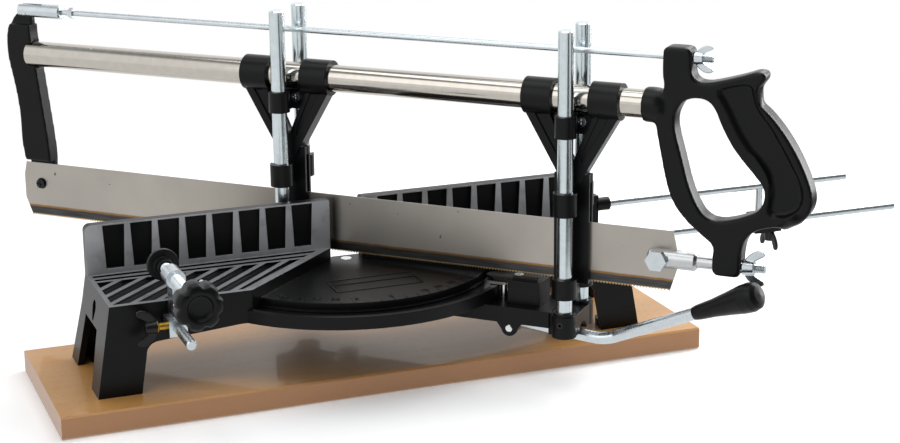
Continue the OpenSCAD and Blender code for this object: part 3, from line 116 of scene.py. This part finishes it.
world = bpy.data.worlds.new("white_sweep")
bpy.context.scene.world = world
world.use_nodes = True
sky = world.node_tree
sky.nodes.clear()
direction = add_node(sky, "ShaderNodeTexCoord").outputs["Generated"]
toward = add_node(sky, "ShaderNodeSeparateXYZ", {"Vector": direction}).outputs
# The room that metal mirrors is grey in front, white on the left and behind, and pale grey overhead.
room = lay_over(sky, linear("#666666"),
                (toward["X"], -0.35, -0.75, linear("#ffffff")),
                (toward["Y"], -0.2, 0.1, linear("#ffffff")),
                (toward["Z"], 0.7, 0.85, linear("#949494")))
ray = add_node(sky, "ShaderNodeLightPath").outputs
mirrored = add_node(sky, "ShaderNodeMath", {0: ray["Is Glossy Ray"], 1: ray["Is Transmission Ray"]},
                    operation="MAXIMUM")
lighting = add_node(sky, "ShaderNodeBackground", {"Color": linear("#f4f6f8"), "Strength": 0.42})
reflection = add_node(sky, "ShaderNodeBackground", {"Color": room, "Strength": 1.15})
backdrop = add_node(sky, "ShaderNodeBackground", {"Color": linear("#ffffff"), "Strength": 1.0})
lit_or_mirrored = add_node(sky, "ShaderNodeMixShader", {0: mirrored.outputs[0], 1: lighting.outputs[0],
                                                        2: reflection.outputs[0]})
all_rays = add_node(sky, "ShaderNodeMixShader", {0: ray["Is Camera Ray"], 1: lit_or_mirrored.outputs[0],
                                                 2: backdrop.outputs[0]})
add_node(sky, "ShaderNodeOutputWorld", {"Surface": all_rays.outputs[0]})

bpy.ops.mesh.primitive_plane_add(size=12, location=(0, 0, -0.0003))
table_top = bpy.context.object
table_top.name = "studio_table"
paper = bpy.data.materials.new("white_paper_sweep")
paper.use_nodes = True
tree = paper.node_tree
tree.nodes.clear()
floor_place = add_node(tree, "ShaderNodeTexCoord").outputs["Object"]
# To the camera the paper is matt near the saw, and fades into the white backdrop from 0.55 to 1.1 m away.
matt = add_node(tree, "ShaderNodeBsdfDiffuse", {"Color": linear("#f2f2f2")})
glow = add_node(tree, "ShaderNodeEmission", {"Color": linear("#ffffff"), "Strength": 0.22})
bright_paper = add_node(tree, "ShaderNodeAddShader", {0: matt.outputs[0], 1: glow.outputs[0]})
distance = add_node(tree, "ShaderNodeVectorMath", {0: floor_place}, operation="LENGTH").outputs["Value"]
far_away = add_node(tree, "ShaderNodeMapRange", {"Value": distance, "From Min": 0.55, "From Max": 1.1},
                    interpolation_type="SMOOTHSTEP").outputs["Result"]
white = add_node(tree, "ShaderNodeEmission", {"Color": linear("#ffffff")})
seen_paper = add_node(tree, "ShaderNodeMixShader", {0: far_away, 1: bright_paper.outputs[0], 2: white.outputs[0]})
# In metal it has two gaps, in front and on the right. Each edge is an axis, and where on it the dark comes in.
spot = add_node(tree, "ShaderNodeSeparateXYZ", {"Vector": floor_place}).outputs
mirrored_paper = linear("#ffffff")
for gap_tone, edges in (("#303030", (("Y", -0.42, -0.58), ("X", -0.02, 0.12), ("X", 0.75, 0.5))),
                        ("#585858", (("Y", 0.35, 0.1), ("Y", -0.4, -0.2), ("X", 0.55, 0.75)))):
    gap = 1.0
    for axis, start, end in edges:
        past_edge = add_node(tree, "ShaderNodeMapRange", {"Value": spot[axis], "From Min": start, "From Max": end},
                             interpolation_type="SMOOTHSTEP").outputs["Result"]
        gap = add_node(tree, "ShaderNodeMath", {0: gap, 1: past_edge}, operation="MULTIPLY").outputs[0]
    mirrored_paper = add_node(tree, "ShaderNodeMix", {"Factor": gap, "A": mirrored_paper, "B": linear(gap_tone)},
                              data_type="RGBA").outputs[2]
paper_or_room = add_node(tree, "ShaderNodeEmission", {"Color": mirrored_paper})
ray = add_node(tree, "ShaderNodeLightPath").outputs
mirrored = add_node(tree, "ShaderNodeMath", {0: ray["Is Glossy Ray"], 1: ray["Is Transmission Ray"]},
                    operation="MAXIMUM")
lit_or_seen = add_node(tree, "ShaderNodeMixShader", {0: ray["Is Camera Ray"], 1: matt.outputs[0],
                                                     2: seen_paper.outputs[0]})
all_rays = add_node(tree, "ShaderNodeMixShader", {0: mirrored.outputs[0], 1: lit_or_seen.outputs[0],
                                                  2: paper_or_room.outputs[0]})
add_node(tree, "ShaderNodeOutputMaterial", {"Surface": all_rays.outputs[0]})
table_top.data.materials.append(paper)

# ---- Bench board and its screws ----
# A planed beech board, cut with the grain along its length and brushed with thin clear varnish. Four cross-head
# wood screws of zinc-plated steel hold the casting's lugs down on it.
board_thickness = 0.018


def start_finish(name, **shader_values):
    """A new material with one Principled shader. Values that are the same all over stay on its own sockets."""
    made = bpy.data.materials.new(name)
    made.use_nodes = True
    tree = made.node_tree
    shader = tree.nodes["Principled BSDF"]
    for socket, value in shader_values.items():
        shader.inputs[socket.replace("_", " ")].default_value = value
    return made, tree, shader, add_node(tree, "ShaderNodeTexCoord").outputs


def per_mm(size):
    """The scale that gives a texture features of this size in millimetres."""
    return 1000 / size


def dress(material, *nodes):
    """Gives CAD nodes their finish."""
    for name in nodes:
        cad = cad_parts[name].data
        cad.materials.clear()
        cad.materials.append(material)


def break_edges(width, *nodes):
    """Rounds the sharp edges of CAD nodes by a width in mm, as paint, tumbling or planing leaves them."""
    for name in nodes:
        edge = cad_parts[name].modifiers.new("broken_edges", "BEVEL")
        edge.width = width / 1000
        edge.segments = 3
        edge.limit_method = "ANGLE"
        edge.angle_limit = math.radians(40)


def varnished_beech():
    # Beech: orange-brown, with fine long grain and small dark flecks 1 to 3 mm long. Varnish gives a soft sheen.
    made, tree, shader, coordinates = start_finish("varnished_beech", Roughness=0.42, Coat_Weight=0.25)
    place = coordinates["Object"]
    along = add_node(tree, "ShaderNodeMapping", {"Vector": place, "Scale": (0.06, 1.0, 1.0)}).outputs["Vector"]
    board = add_node(tree, "ShaderNodeTexNoise", {"Vector": along, "Scale": per_mm(60), "Detail": 2.0})
    grain = add_node(tree, "ShaderNodeTexNoise", {"Vector": along, "Scale": per_mm(9), "Detail": 5.0,
                                                  "Distortion": 0.6}).outputs["Fac"]
    narrow = add_node(tree, "ShaderNodeMix", {"Factor": grain, "A": linear("#b07c40"), "B": linear("#cc9a5b")},
                      data_type="RGBA")
    broad = add_node(tree, "ShaderNodeMix", {"Factor": board.outputs["Fac"], "A": linear("#b98343"),
                                             "B": linear("#c8955a")}, data_type="RGBA")
    wood = add_node(tree, "ShaderNodeMix", {"Factor": 0.5, "A": narrow.outputs[2], "B": broad.outputs[2]},
                    data_type="RGBA")
    fleck_place = add_node(tree, "ShaderNodeMapping", {"Vector": place, "Scale": (0.22, 1.0, 1.0)})
    fleck = add_node(tree, "ShaderNodeTexNoise", {"Vector": fleck_place.outputs["Vector"], "Scale": per_mm(1.1),
                                                  "Detail": 1.0})
    is_fleck = add_node(tree, "ShaderNodeMapRange", {"Value": fleck.outputs["Fac"], "From Min": 0.62,
                                                     "From Max": 0.74, "To Max": 0.35})
    flecked = add_node(tree, "ShaderNodeMix", {"Factor": is_fleck.outputs["Result"], "A": wood.outputs[2],
                                               "B": linear("#7c5226")}, data_type="RGBA")
    # The sawn edges and ends are redder than the planed face.
    facing = add_node(tree, "ShaderNodeSeparateXYZ", {"Vector": coordinates["Normal"]})
    flatness = add_node(tree, "ShaderNodeMath", {0: facing.outputs["Z"]}, operation="ABSOLUTE")
    is_edge = add_node(tree, "ShaderNodeMapRange", {"Value": flatness.outputs[0], "From Min": 0.2, "From Max": 0.9,
                                                    "To Min": 0.75, "To Max": 0.0})
    edged = add_node(tree, "ShaderNodeMix", {"Factor": is_edge.outputs["Result"], "A": flecked.outputs[2],
                                             "B": linear("#b5825c")}, data_type="RGBA")
    tree.links.new(edged.outputs[2], shader.inputs["Base Color"])
    relief = add_node(tree, "ShaderNodeBump", {"Height": grain, "Strength": 0.12, "Distance": 0.0003})
    tree.links.new(relief.outputs[0], shader.inputs["Normal"])
    return made


def clouded_metal(name, dark, light, roughness):
    """Bare or plated metal with the faint cloudiness, a few millimetres across, of a plating bath or of handling."""
    made, tree, shader, coordinates = start_finish(name, Metallic=1.0)
    cloud = add_node(tree, "ShaderNodeTexNoise", {"Vector": coordinates["Object"], "Scale": per_mm(7),
                                                  "Detail": 4.0}).outputs["Fac"]
    dull = add_node(tree, "ShaderNodeMapRange", {"Value": cloud, "From Min": 0.3, "From Max": 0.7,
                                                 "To Min": roughness * 0.92, "To Max": roughness * 1.12})
    shade = add_node(tree, "ShaderNodeMix", {"Factor": cloud, "A": linear(dark), "B": linear(light)},
                     data_type="RGBA")
    tree.links.new(shade.outputs[2], shader.inputs["Base Color"])
    tree.links.new(dull.outputs["Result"], shader.inputs["Roughness"])
    return made


# Bright zinc on drawn steel: bluish white, and half a mirror.
bright_zinc = clouded_metal("bright_zinc_plate", "#bcc4c9", "#d6dde1", roughness=0.27)
dress(varnished_beech(), "base_board")
break_edges(1.0, "base_board")
dress(bright_zinc, "board_screws")

# ---- Base casting ----
# One piece of die-cast aluminium with feet, tables, fence and quadrant, stove-enamelled satin black. The fence's
# lands and the tops of the table ribs are ground after painting, and show worn grey metal. Their grey is also a
# painted reflection: it stands in for the white room that these flat faces mirror at a grazing angle.
table_height = board_thickness + 0.072
quadrant_top = board_thickness + 0.062


def stove_enamel(name, tone="#0a0a0b", roughness=0.34):
    # Black stove enamel over a casting: satin, with the casting's fine skin under it, grit 0.4 mm drawn at 0.9 mm.
    made, tree, shader, coordinates = start_finish(name, Roughness=roughness, Specular_IOR_Level=0.17)
    place = coordinates["Object"]
    skin = add_node(tree, "ShaderNodeTexNoise", {"Vector": place, "Scale": per_mm(0.9), "Detail": 2.0})
    patch = add_node(tree, "ShaderNodeTexNoise", {"Vector": place, "Scale": per_mm(25), "Detail": 3.0})
    shade = add_node(tree, "ShaderNodeMix", {"Factor": patch.outputs["Fac"], "A": linear(tone),
                                             "B": linear("#101112")}, data_type="RGBA")
    rounded = add_node(tree, "ShaderNodeBevel", {"Radius": 0.0007}, samples=4)
    relief = add_node(tree, "ShaderNodeBump", {"Height": skin.outputs["Fac"], "Strength": 0.18, "Distance": 0.0002,
                                               "Normal": rounded.outputs[0]})
    tree.links.new(shade.outputs[2], shader.inputs["Base Color"])
    tree.links.new(relief.outputs[0], shader.inputs["Normal"])
    return made, tree, shader, coordinates, shade.outputs[2]


def ground_casting():
    # The same enamel, ground through to the grey metal where the work lies and slides, and rubbed dull there. That
    # grey is also a painted reflection of the white room mirrored in the flat faces.
    made, tree, shader, coordinates, enamel = stove_enamel("stove_enamel_ground_and_painted_sheen_on_the_lands")
    axes = add_node(tree, "ShaderNodeSeparateXYZ", {"Vector": coordinates["Object"]}).outputs
    facing = add_node(tree, "ShaderNodeSeparateXYZ", {"Vector": coordinates["Normal"]}).outputs
    ground_and_sheened_faces = []
    for axis, level, way in (("Z", table_height, 1.0), ("Y", 0.0, -1.0)):
        at_level = add_node(tree, "ShaderNodeMath", {0: axes[axis], 1: level, 2: 0.0003}, operation="COMPARE")
        faces_out = add_node(tree, "ShaderNodeMath", {0: facing[axis], 1: way, 2: 0.2}, operation="COMPARE")
        both = add_node(tree, "ShaderNodeMath", {0: at_level.outputs[0], 1: faces_out.outputs[0]},
                        operation="MULTIPLY")
        ground_and_sheened_faces.append(both.outputs[0])
    rib_tops, lands = ground_and_sheened_faces
    ground = add_node(tree, "ShaderNodeMath", {0: rib_tops, 1: lands}, operation="MAXIMUM").outputs[0]
    wear = add_node(tree, "ShaderNodeTexNoise", {"Vector": coordinates["Object"], "Scale": per_mm(14),
                                                 "Detail": 6.0}).outputs["Fac"]
    worn = add_node(tree, "ShaderNodeMapRange", {"Value": wear, "From Min": 0.25, "From Max": 0.45,
                                                 "To Min": 0.7, "To Max": 1.0}).outputs["Result"]
    # On the rib tops the grey comes in at only 0.55 of its strength, so they show darker than the lands.
    less_on_top = add_node(tree, "ShaderNodeMath", {0: rib_tops, 1: -0.45, 2: 1.0}, operation="MULTIPLY_ADD")
    worn_through_and_sheen = add_node(tree, "ShaderNodeMath", {0: ground, 1: worn}, operation="MULTIPLY").outputs[0]
    bare = add_node(tree, "ShaderNodeMath", {0: worn_through_and_sheen, 1: less_on_top.outputs[0]},
                    operation="MULTIPLY").outputs[0]
    # Painted reflection: this grey is partly bare metal and partly the white room mirrored in the flat faces.
    grey = add_node(tree, "ShaderNodeMix", {"Factor": wear, "A": linear("#a4a6a9"), "B": linear("#c4c6c9")},
                    data_type="RGBA")
    shown = add_node(tree, "ShaderNodeMix", {"Factor": bare, "A": enamel, "B": grey.outputs[2]},
                     data_type="RGBA")
    tree.links.new(shown.outputs[2], shader.inputs["Base Color"])
    metal = add_node(tree, "ShaderNodeMapRange", {"Value": bare, "To Max": 0.55})
    tree.links.new(metal.outputs["Result"], shader.inputs["Metallic"])
    return made


dress(ground_casting(), "base_casting")
# The raised marks are in a dark grey enamel, lighter than the black enamel round them.
grey_mark_enamel = stove_enamel("stove_enamel_on_cast_marks", "#26272a", 0.3)[0]


def add_piece(name, body, mesh, material):
    """A new piece of one material, which moves with a body."""
    mesh.materials.clear()
    mesh.materials.append(material)
    piece = bpy.data.objects.new(name, mesh)
    bpy.context.collection.objects.link(piece)
    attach(piece, body)
    return piece


def raised_lines(name, body, lines, width, height, material):
    """Narrow raised ribs along lines of points, one box-shaped rib to each straight stretch, sizes in metres."""
    points, faces = [], []
    for line in lines:
        for a, b in zip(line, line[1:]):
            a, b = Vector(a), Vector(b)
            ahead = (b - a).normalized() * width / 2
            side = Vector((-ahead.y, ahead.x, 0))
            foot = [a - ahead - side, b + ahead - side, b + ahead + side, a - ahead + side]
            n = len(points)
            # Each rib is a little shorter and narrower at its top, so that it draws out of the mould.
            points += foot + [corner.lerp((a + b) / 2, 0.02) + Vector((0, 0, height)) for corner in foot]
            faces += [(n, n + 3, n + 2, n + 1), (n + 4, n + 5, n + 6, n + 7)]
            faces += [(n + i, n + (i + 1) % 4, n + 4 + (i + 1) % 4, n + 4 + i) for i in range(4)]
    ribs = bpy.data.meshes.new(name)
    ribs.from_pydata(points, [], faces)
    add_piece(name, body, ribs, material)


def on_quadrant(angle, radius, across=0.0):
    """A point on the quadrant's top: an angle from straight ahead, a distance from the pivot, a shift to its right."""
    a = math.radians(angle)
    return (math.sin(a) * radius + math.cos(a) * across, -math.cos(a) * radius + math.sin(a) * across, quadrant_top)


# The dial, in metres from the pivot: a line every 5 degrees, and inside them the figures of the usual mitres.
line_start, line_end, figures_radius = 0.1165, 0.1205, 0.114
figure_width, figure_pitch, half_figure_height = 0.0022, 0.0036, 0.0021
# Each figure is strokes on a grid that is 1 wide and 2 high.
figure_strokes = {
    "0": [((0, 0), (1, 0), (1, 2), (0, 2), (0, 0))],
    "1": [((0.2, 1.5), (0.6, 2), (0.6, 0))],
    "2": [((0, 2), (1, 2), (1, 1), (0, 1), (0, 0), (1, 0))],
    "3": [((0, 2), (1, 2), (1, 0), (0, 0)), ((0.2, 1), (1, 1))],
    "4": [((0, 2), (0, 1), (1, 1)), ((0.8, 2), (0.8, 0))],
    "5": [((1, 2), (0, 2), (0, 1), (1, 1), (1, 0), (0, 0))],
    "6": [((1, 2), (0, 2), (0, 0), (1, 0), (1, 1), (0, 1))],
}
dial = [[on_quadrant(angle, line_start), on_quadrant(angle, line_end)] for angle in range(-50, 51, 5)]
for angle in (-45, -36, -30, -22.5, -15, 0, 15, 22.5, 30, 36, 45):
    figures = str(int(abs(angle)))
    number_width = (len(figures) - 1) * figure_pitch + figure_width
    for count, figure in enumerate(figures):
        left = count * figure_pitch - number_width / 2
        for stroke in figure_strokes[figure]:
            dial.append([on_quadrant(angle, figures_radius - y * half_figure_height, left + x * figure_width)
                         for x, y in stroke])
raised_lines("quadrant_dial", "base", dial, width=0.0007, height=0.0003, material=grey_mark_enamel)
panel_half_width, panel_near, panel_far = 0.036, 0.058, 0.088
panel_edge = [(side * panel_half_width, -reach, quadrant_top)
              for side, reach in ((-1, panel_near), (1, panel_near), (1, panel_far), (-1, panel_far), (-1, panel_near))]
raised_lines("quadrant_bare_panel_edge", "base", [panel_edge], width=0.0008, height=0.0004, material=grey_mark_enamel)

# ---- Swing pivot ----
# A bolt turned from bright bar, its end ground flush with the quadrant, goes through quadrant and swing arm. Its
# nut and washers are zinc-plated. Turned steel is whiter than the plating, and a clearer mirror.
turned_steel = clouded_metal("turned_steel", "#c9cbcc", "#e4e6e7", roughness=0.2)
dress(turned_steel, "pivot_bolt")
dress(bright_zinc, "pivot_nut", "pivot_washers")

# ---- Work clamp ----
# A zinc-plated rod and a die-cast block carry the threaded spindle, which presses a black pad on the work and is
# turned by a lobed nylon knob. A screw with nylon wings moulded on it holds the rod.
spindle_x, spindle_z = -170, 113.7


def moulded_plastic(name, tone, roughness):
    # Black nylon from a fine-eroded mould: satin, with a grain of about 0.3 mm drawn at 0.6 mm.
    made, tree, shader, coordinates = start_finish(name, Roughness=roughness, Specular_IOR_Level=0.17)
    grain = add_node(tree, "ShaderNodeTexNoise", {"Vector": coordinates["Object"], "Scale": per_mm(0.6),
                                                  "Detail": 1.0}).outputs["Fac"]
    shade = add_node(tree, "ShaderNodeMix", {"Factor": grain, "A": linear(tone), "B": linear("#101112")},
                     data_type="RGBA")
    rounded = add_node(tree, "ShaderNodeBevel", {"Radius": 0.0008}, samples=4)
    relief = add_node(tree, "ShaderNodeBump", {"Height": grain, "Strength": 0.1, "Distance": 0.0001,
                                               "Normal": rounded.outputs[0]})
    tree.links.new(shade.outputs[2], shader.inputs["Base Color"])
    tree.links.new(relief.outputs[0], shader.inputs["Normal"])
    return made


black_nylon = moulded_plastic("black_nylon", "#0e0e10", 0.32)
dress(bright_zinc, "clamp_rod", "clamp_block")


def moulded_knob():
    """The lobed knob as one closed skin round the spindle: a dished face, a rounded rim, seven dents, a flat back."""
    front, back, radius, lobes, around = -186.0, -166.0, 18.4, 7, 140
    # From the dish to the back: the share of the radius, and the depth behind the knob's front in mm.
    profile = [(0.30, 3.4), (0.44, 3.1), (0.50, 2.2), (0.53, 0.9), (0.57, 0.2), (0.62, 0.0), (0.72, 0.1), (0.83, 0.6),
               (0.92, 1.7), (0.98, 3.6), (1.0, 6.0), (1.0, 13.5), (0.98, 16.2), (0.93, 18.2), (0.84, 19.5), (0.7, 20.0)]
    dish_depth, flat_share, dent_depth = 3.4, 0.62, 0.14
    points, faces = [], []
    for share, depth in profile:
        lobed = max(0.0, (share - flat_share) / (1 - flat_share)) ** 0.8
        for k in range(around):
            turn = 2 * math.pi * k / around
            dent = dent_depth * lobed * (0.5 - 0.5 * math.cos(lobes * turn)) ** 3
            reach = radius * share * (1 - dent)
            points.append((spindle_x + reach * math.cos(turn), front + depth, spindle_z + reach * math.sin(turn)))
    for i in range(len(profile) - 1):
        for k in range(around):
            a, b = i * around + k, i * around + (k + 1) % around
            faces.append((a, a + around, b + around, b))
    dish, foot, last = len(points), len(points) + 1, (len(profile) - 1) * around
    points += [(spindle_x, front + dish_depth, spindle_z), (spindle_x, back, spindle_z)]
    faces += [(dish, k, (k + 1) % around) for k in range(around)]
    faces += [(foot, last + (k + 1) % around, last + k) for k in range(around)]
    skin = bpy.data.meshes.new("clamp_knob_moulded")
    skin.from_pydata([Vector(point) / 1000 for point in points], [], faces)
    skin.shade_smooth()
    piece = add_piece("clamp_knob_moulded", "clamp_spindle", skin, black_nylon)
    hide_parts("clamp_knob", "clamp_knob_cap")


moulded_knob()


def black_wing_with_plated_shank():
    # Black nylon wings on a steel screw. Its shank is yellow-passivated, a brassy metal, from where the wings end.
    made, tree, shader, coordinates = start_finish("black_nylon_on_a_yellow_passivated_screw", Roughness=0.35,
                                                   Specular_IOR_Level=0.3)
    wings_end = -0.1844
    along_screw = add_node(tree, "ShaderNodeSeparateXYZ", {"Vector": coordinates["Object"]}).outputs["X"]
    is_steel = add_node(tree, "ShaderNodeMapRange", {"Value": along_screw, "From Min": wings_end - 0.0002,
                                                     "From Max": wings_end + 0.0002}, interpolation_type="SMOOTHSTEP")
    shade = add_node(tree, "ShaderNodeMix", {"Factor": is_steel.outputs["Result"], "A": linear("#0e0e10"),
                                             "B": linear("#b8923a")}, data_type="RGBA")
    tree.links.new(shade.outputs[2], shader.inputs["Base Color"])
    tree.links.new(is_steel.outputs["Result"], shader.inputs["Metallic"])
    return made


def soften(node, body, material, step, passes):
    """A piece in a node's place with its form: cut into facets of one step in mm, then eased over the edges."""
    piece = add_piece(node + "_eased", body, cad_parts[node].data.copy(), material)
    facets = piece.modifiers.new("facets", "REMESH")
    facets.mode = "VOXEL"
    facets.voxel_size = step / 1000
    facets.use_smooth_shade = True
    ease = piece.modifiers.new("ease", "SMOOTH")
    ease.iterations = passes
    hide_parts(node)


soften("clamp_wing_screw", "clamp_wing_screw", black_wing_with_plated_shank(), step=0.5, passes=4)
soften("clamp_pad", "clamp_pad", black_nylon, step=0.6, passes=5)
soften("clamp_lock_nut", "clamp_spindle", bright_zinc, step=0.5, passes=4)
break_edges(0.6, "clamp_block", "clamp_rod")


def cut_thread(name, body, start, along, length, diameter, pitch, material):
    """A rolled vee thread as one closed skin just proud of a plain rod, sizes in mm."""
    rings_per_turn, ring_points, run_out_rings = 8, 24, 6
    proud, crest_height = 0.03, 0.36 * pitch
    along = Vector(along).normalized()
    first = along.orthogonal().normalized()
    second = along.cross(first)
    rings = int(length / pitch * rings_per_turn)
    points, faces = [], []
    for i in range(rings + 1):
        for k in range(ring_points):
            turn = 2 * math.pi * k / ring_points
            phase = (i / rings_per_turn - k / ring_points) % 1
            run_out = min(1, i / run_out_rings, (rings - i) / run_out_rings)
            radius = diameter / 2 + proud + crest_height * abs(2 * phase - 1) * run_out
            spoke = first * math.cos(turn) + second * math.sin(turn)
            points.append((Vector(start) + along * (length * i / rings) + spoke * radius) / 1000)
    for i in range(rings):
        for k in range(ring_points):
            a, b = i * ring_points + k, i * ring_points + (k + 1) % ring_points
            faces.append((a, b, b + ring_points, a + ring_points))
    faces.append(tuple(reversed(range(ring_points))))
    faces.append(tuple(range(rings * ring_points, (rings + 1) * ring_points)))
    skin = bpy.data.meshes.new(name)
    skin.from_pydata(points, [], faces)
    return add_piece(name, body, skin, material)


# This thread is the whole spindle: its crests have the plain rod's radius.
threaded_spindle = cut_thread("clamp_spindle_threaded", "clamp_spindle", start=(spindle_x, -176, spindle_z),
                              along=(0, 1, 0), length=100, diameter=7.8, pitch=1.6, material=bright_zinc)
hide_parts("clamp_spindle")

# ---- Length stop ----
# Two zinc-plated rods at the right end are joined by an enamelled block, in which a wing screw of blackened steel
# clamps the sliding one. The end of the work touches an enamelled bar.
satin_enamel = stove_enamel("stove_enamel")[0]
# Steel blackened in hot salts and oiled: a dark grey metal, rather dull.
black_oxide = clouded_metal("black_oxide_steel", "#2c2d30", "#3c3d41", roughness=0.42)
dress(bright_zinc, "stop_guide_rod", "stop_rod")
dress(satin_enamel, "stop_clamp_block", "stop_bar")
soften("stop_wing_screw", "stop_wing_screw", black_oxide, step=0.5, passes=4)

# ---- Swing arm, posts and lock ----
# An enamelled casting carries four posts in its sockets, each held by a set screw. Its housing holds the turned
# plunger and the spring of the mitre lock. The posts are ground before plating, so they mirror more clearly.
dress(satin_enamel, "swing_arm", "lock_housing")
post_zinc = clouded_metal("bright_zinc_on_ground_posts", "#bfc9cd", "#d8e2e5", roughness=0.22)
dress(post_zinc, "front_post_near", "front_post_far", "rear_post_near", "rear_post_far")
dress(black_oxide, "post_set_screws")
dress(bright_zinc, "lock_housing_screw")
dress(turned_steel, "lock_plunger", "lock_spring", "lever_pin")

# ---- Release lever ----
# A zinc-plated rod, bent cold, turns on a pin, and its finger draws the lock's plunger down. A pear-shaped grip of
# black nylon is pushed on its end.
dress(bright_zinc, "release_lever")
dress(black_nylon, "lever_grip")

# ---- Carriers ----
# Two mouldings of black nylon slide up and down on the posts and hold the saw frame's tube in their collars. Each
# has a zinc-plated clamping screw.
dress(black_nylon, "front_carrier", "rear_carrier")
break_edges(0.6, "front_carrier", "rear_carrier")
dress(bright_zinc, "front_carrier_screw", "rear_carrier_screw")

# ---- Saw frame ----
# A nickel-plated tube joins a flat enamelled arm to the handle of black nylon. A thin zinc-plated rod above it,
# with a clevis and a wing nut, pulls the two together and tightens the blade.
frame_line = (0.70711, -0.70711, 0)
# Nickel on a polished tube: warmer than zinc, and the clearest mirror on the saw.
satin_nickel = clouded_metal("satin_nickel_plate", "#b4afa7", "#c4bfb7", roughness=0.13)
dress(satin_nickel, "frame_tube")
soften("frame_arm", "saw_frame", satin_enamel, step=1.0, passes=12)
soften("saw_handle", "saw_frame", black_nylon, step=1.2, passes=26)
dress(bright_zinc, "tension_rod", "tension_clevis", "tension_lock_nut", "clevis_pin")
soften("tension_wing_nut", "tension_wing_nut", bright_zinc, step=0.4, passes=4)
rod_tip, rod_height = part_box("tension_rod")[1][0] * 1000, 270.3
cut_thread("tension_rod_thread", "saw_frame", start=(rod_tip - 12, 12 - rod_tip, rod_height), along=frame_line,
           length=14.5, diameter=4.8, pitch=0.9, material=bright_zinc)
break_edges(0.5, "tension_clevis")

# ---- Blade ----
# A ground strip of carbon steel, oiled, and hardened along the teeth. A blackened screw holds it at the far arm. At
# the handle a turned aluminium clevis with a threaded stud and a plated wing nut draws it tight.
def ground_blade_steel():
    # Ground carbon steel: soft warm grey, clouded where oil lies on it.
    made, tree, shader, coordinates = start_finish("ground_blade_steel", Metallic=1.0, Roughness=0.38)
    place = coordinates["Object"]
    cloud = add_node(tree, "ShaderNodeTexNoise", {"Vector": place, "Scale": per_mm(40), "Detail": 5.0})
    ground = add_node(tree, "ShaderNodeMix", {"Factor": cloud.outputs["Fac"], "A": linear("#9f9a93"),
                                              "B": linear("#b3aea6")}, data_type="RGBA")
    height = add_node(tree, "ShaderNodeSeparateXYZ", {"Vector": place}).outputs["Z"]
    # Hardening leaves a wavering straw line above a blue-grey band 7 mm deep, streaked along the blade. Below it the
    # set tips of the teeth are painted a light warm grey: a painted glint where they catch the light. Their heights are
    # in metres above the bench.
    waver = add_node(tree, "ShaderNodeTexNoise", {"Vector": place, "Scale": per_mm(12), "Detail": 3.0})
    level = add_node(tree, "ShaderNodeMath", {0: waver.outputs["Fac"], 1: 0.0012, 2: height},
                     operation="MULTIPLY_ADD").outputs[0]
    streak = add_node(tree, "ShaderNodeMapping", {"Vector": place, "Scale": (1.0, 1.0, 14.0)})
    fine = add_node(tree, "ShaderNodeTexNoise", {"Vector": streak.outputs["Vector"], "Scale": per_mm(22),
                                                 "Detail": 4.0})
    blued = add_node(tree, "ShaderNodeMix", {"Factor": fine.outputs["Fac"], "A": linear("#26272b"),
                                             "B": linear("#5d5c5c")}, data_type="RGBA")
    # Small dark spots of rust and oil, 1 to 2 mm across, are the peaks of a 5 mm pattern.
    spots = add_node(tree, "ShaderNodeTexNoise", {"Vector": place, "Scale": per_mm(5), "Detail": 1.0})
    shown = lay_over(tree, ground.outputs[2],
                     (level, 0.0962, 0.0948, linear("#8a6844")),
                     (level, 0.0942, 0.0932, blued.outputs[2]),
                     # Painted glint: the tips of the teeth in a light warm grey.
                     (height, 0.0872, 0.0864, linear("#b49a72")),
                     (spots.outputs["Fac"], 0.765, 0.80, linear("#6b6056")))
    tree.links.new(shown, shader.inputs["Base Color"])
    return made


dress(ground_blade_steel(), "saw_blade")
# Turned aluminium: a light neutral grey with fine tool marks too small to show, so only their dullness is drawn.
turned_aluminium = clouded_metal("turned_aluminium", "#b2b4b6", "#cdcfd1", roughness=0.3)
dress(turned_aluminium, "blade_clevis")
dress(black_oxide, "blade_screw")
dress(bright_zinc, "blade_clevis_bolt")
soften("blade_wing_nut", "blade_wing_nut", bright_zinc, step=0.45, passes=4)
stud_tip, stud_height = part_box("blade_clevis")[1][0] * 1000, 111.3
cut_thread("blade_stud_thread", "saw_frame", start=(stud_tip - 16, 16 - stud_tip, stud_height), along=frame_line,
           length=21, diameter=6, pitch=1.25, material=bright_zinc)
break_edges(0.4, "blade_clevis", "blade_clevis_bolt")
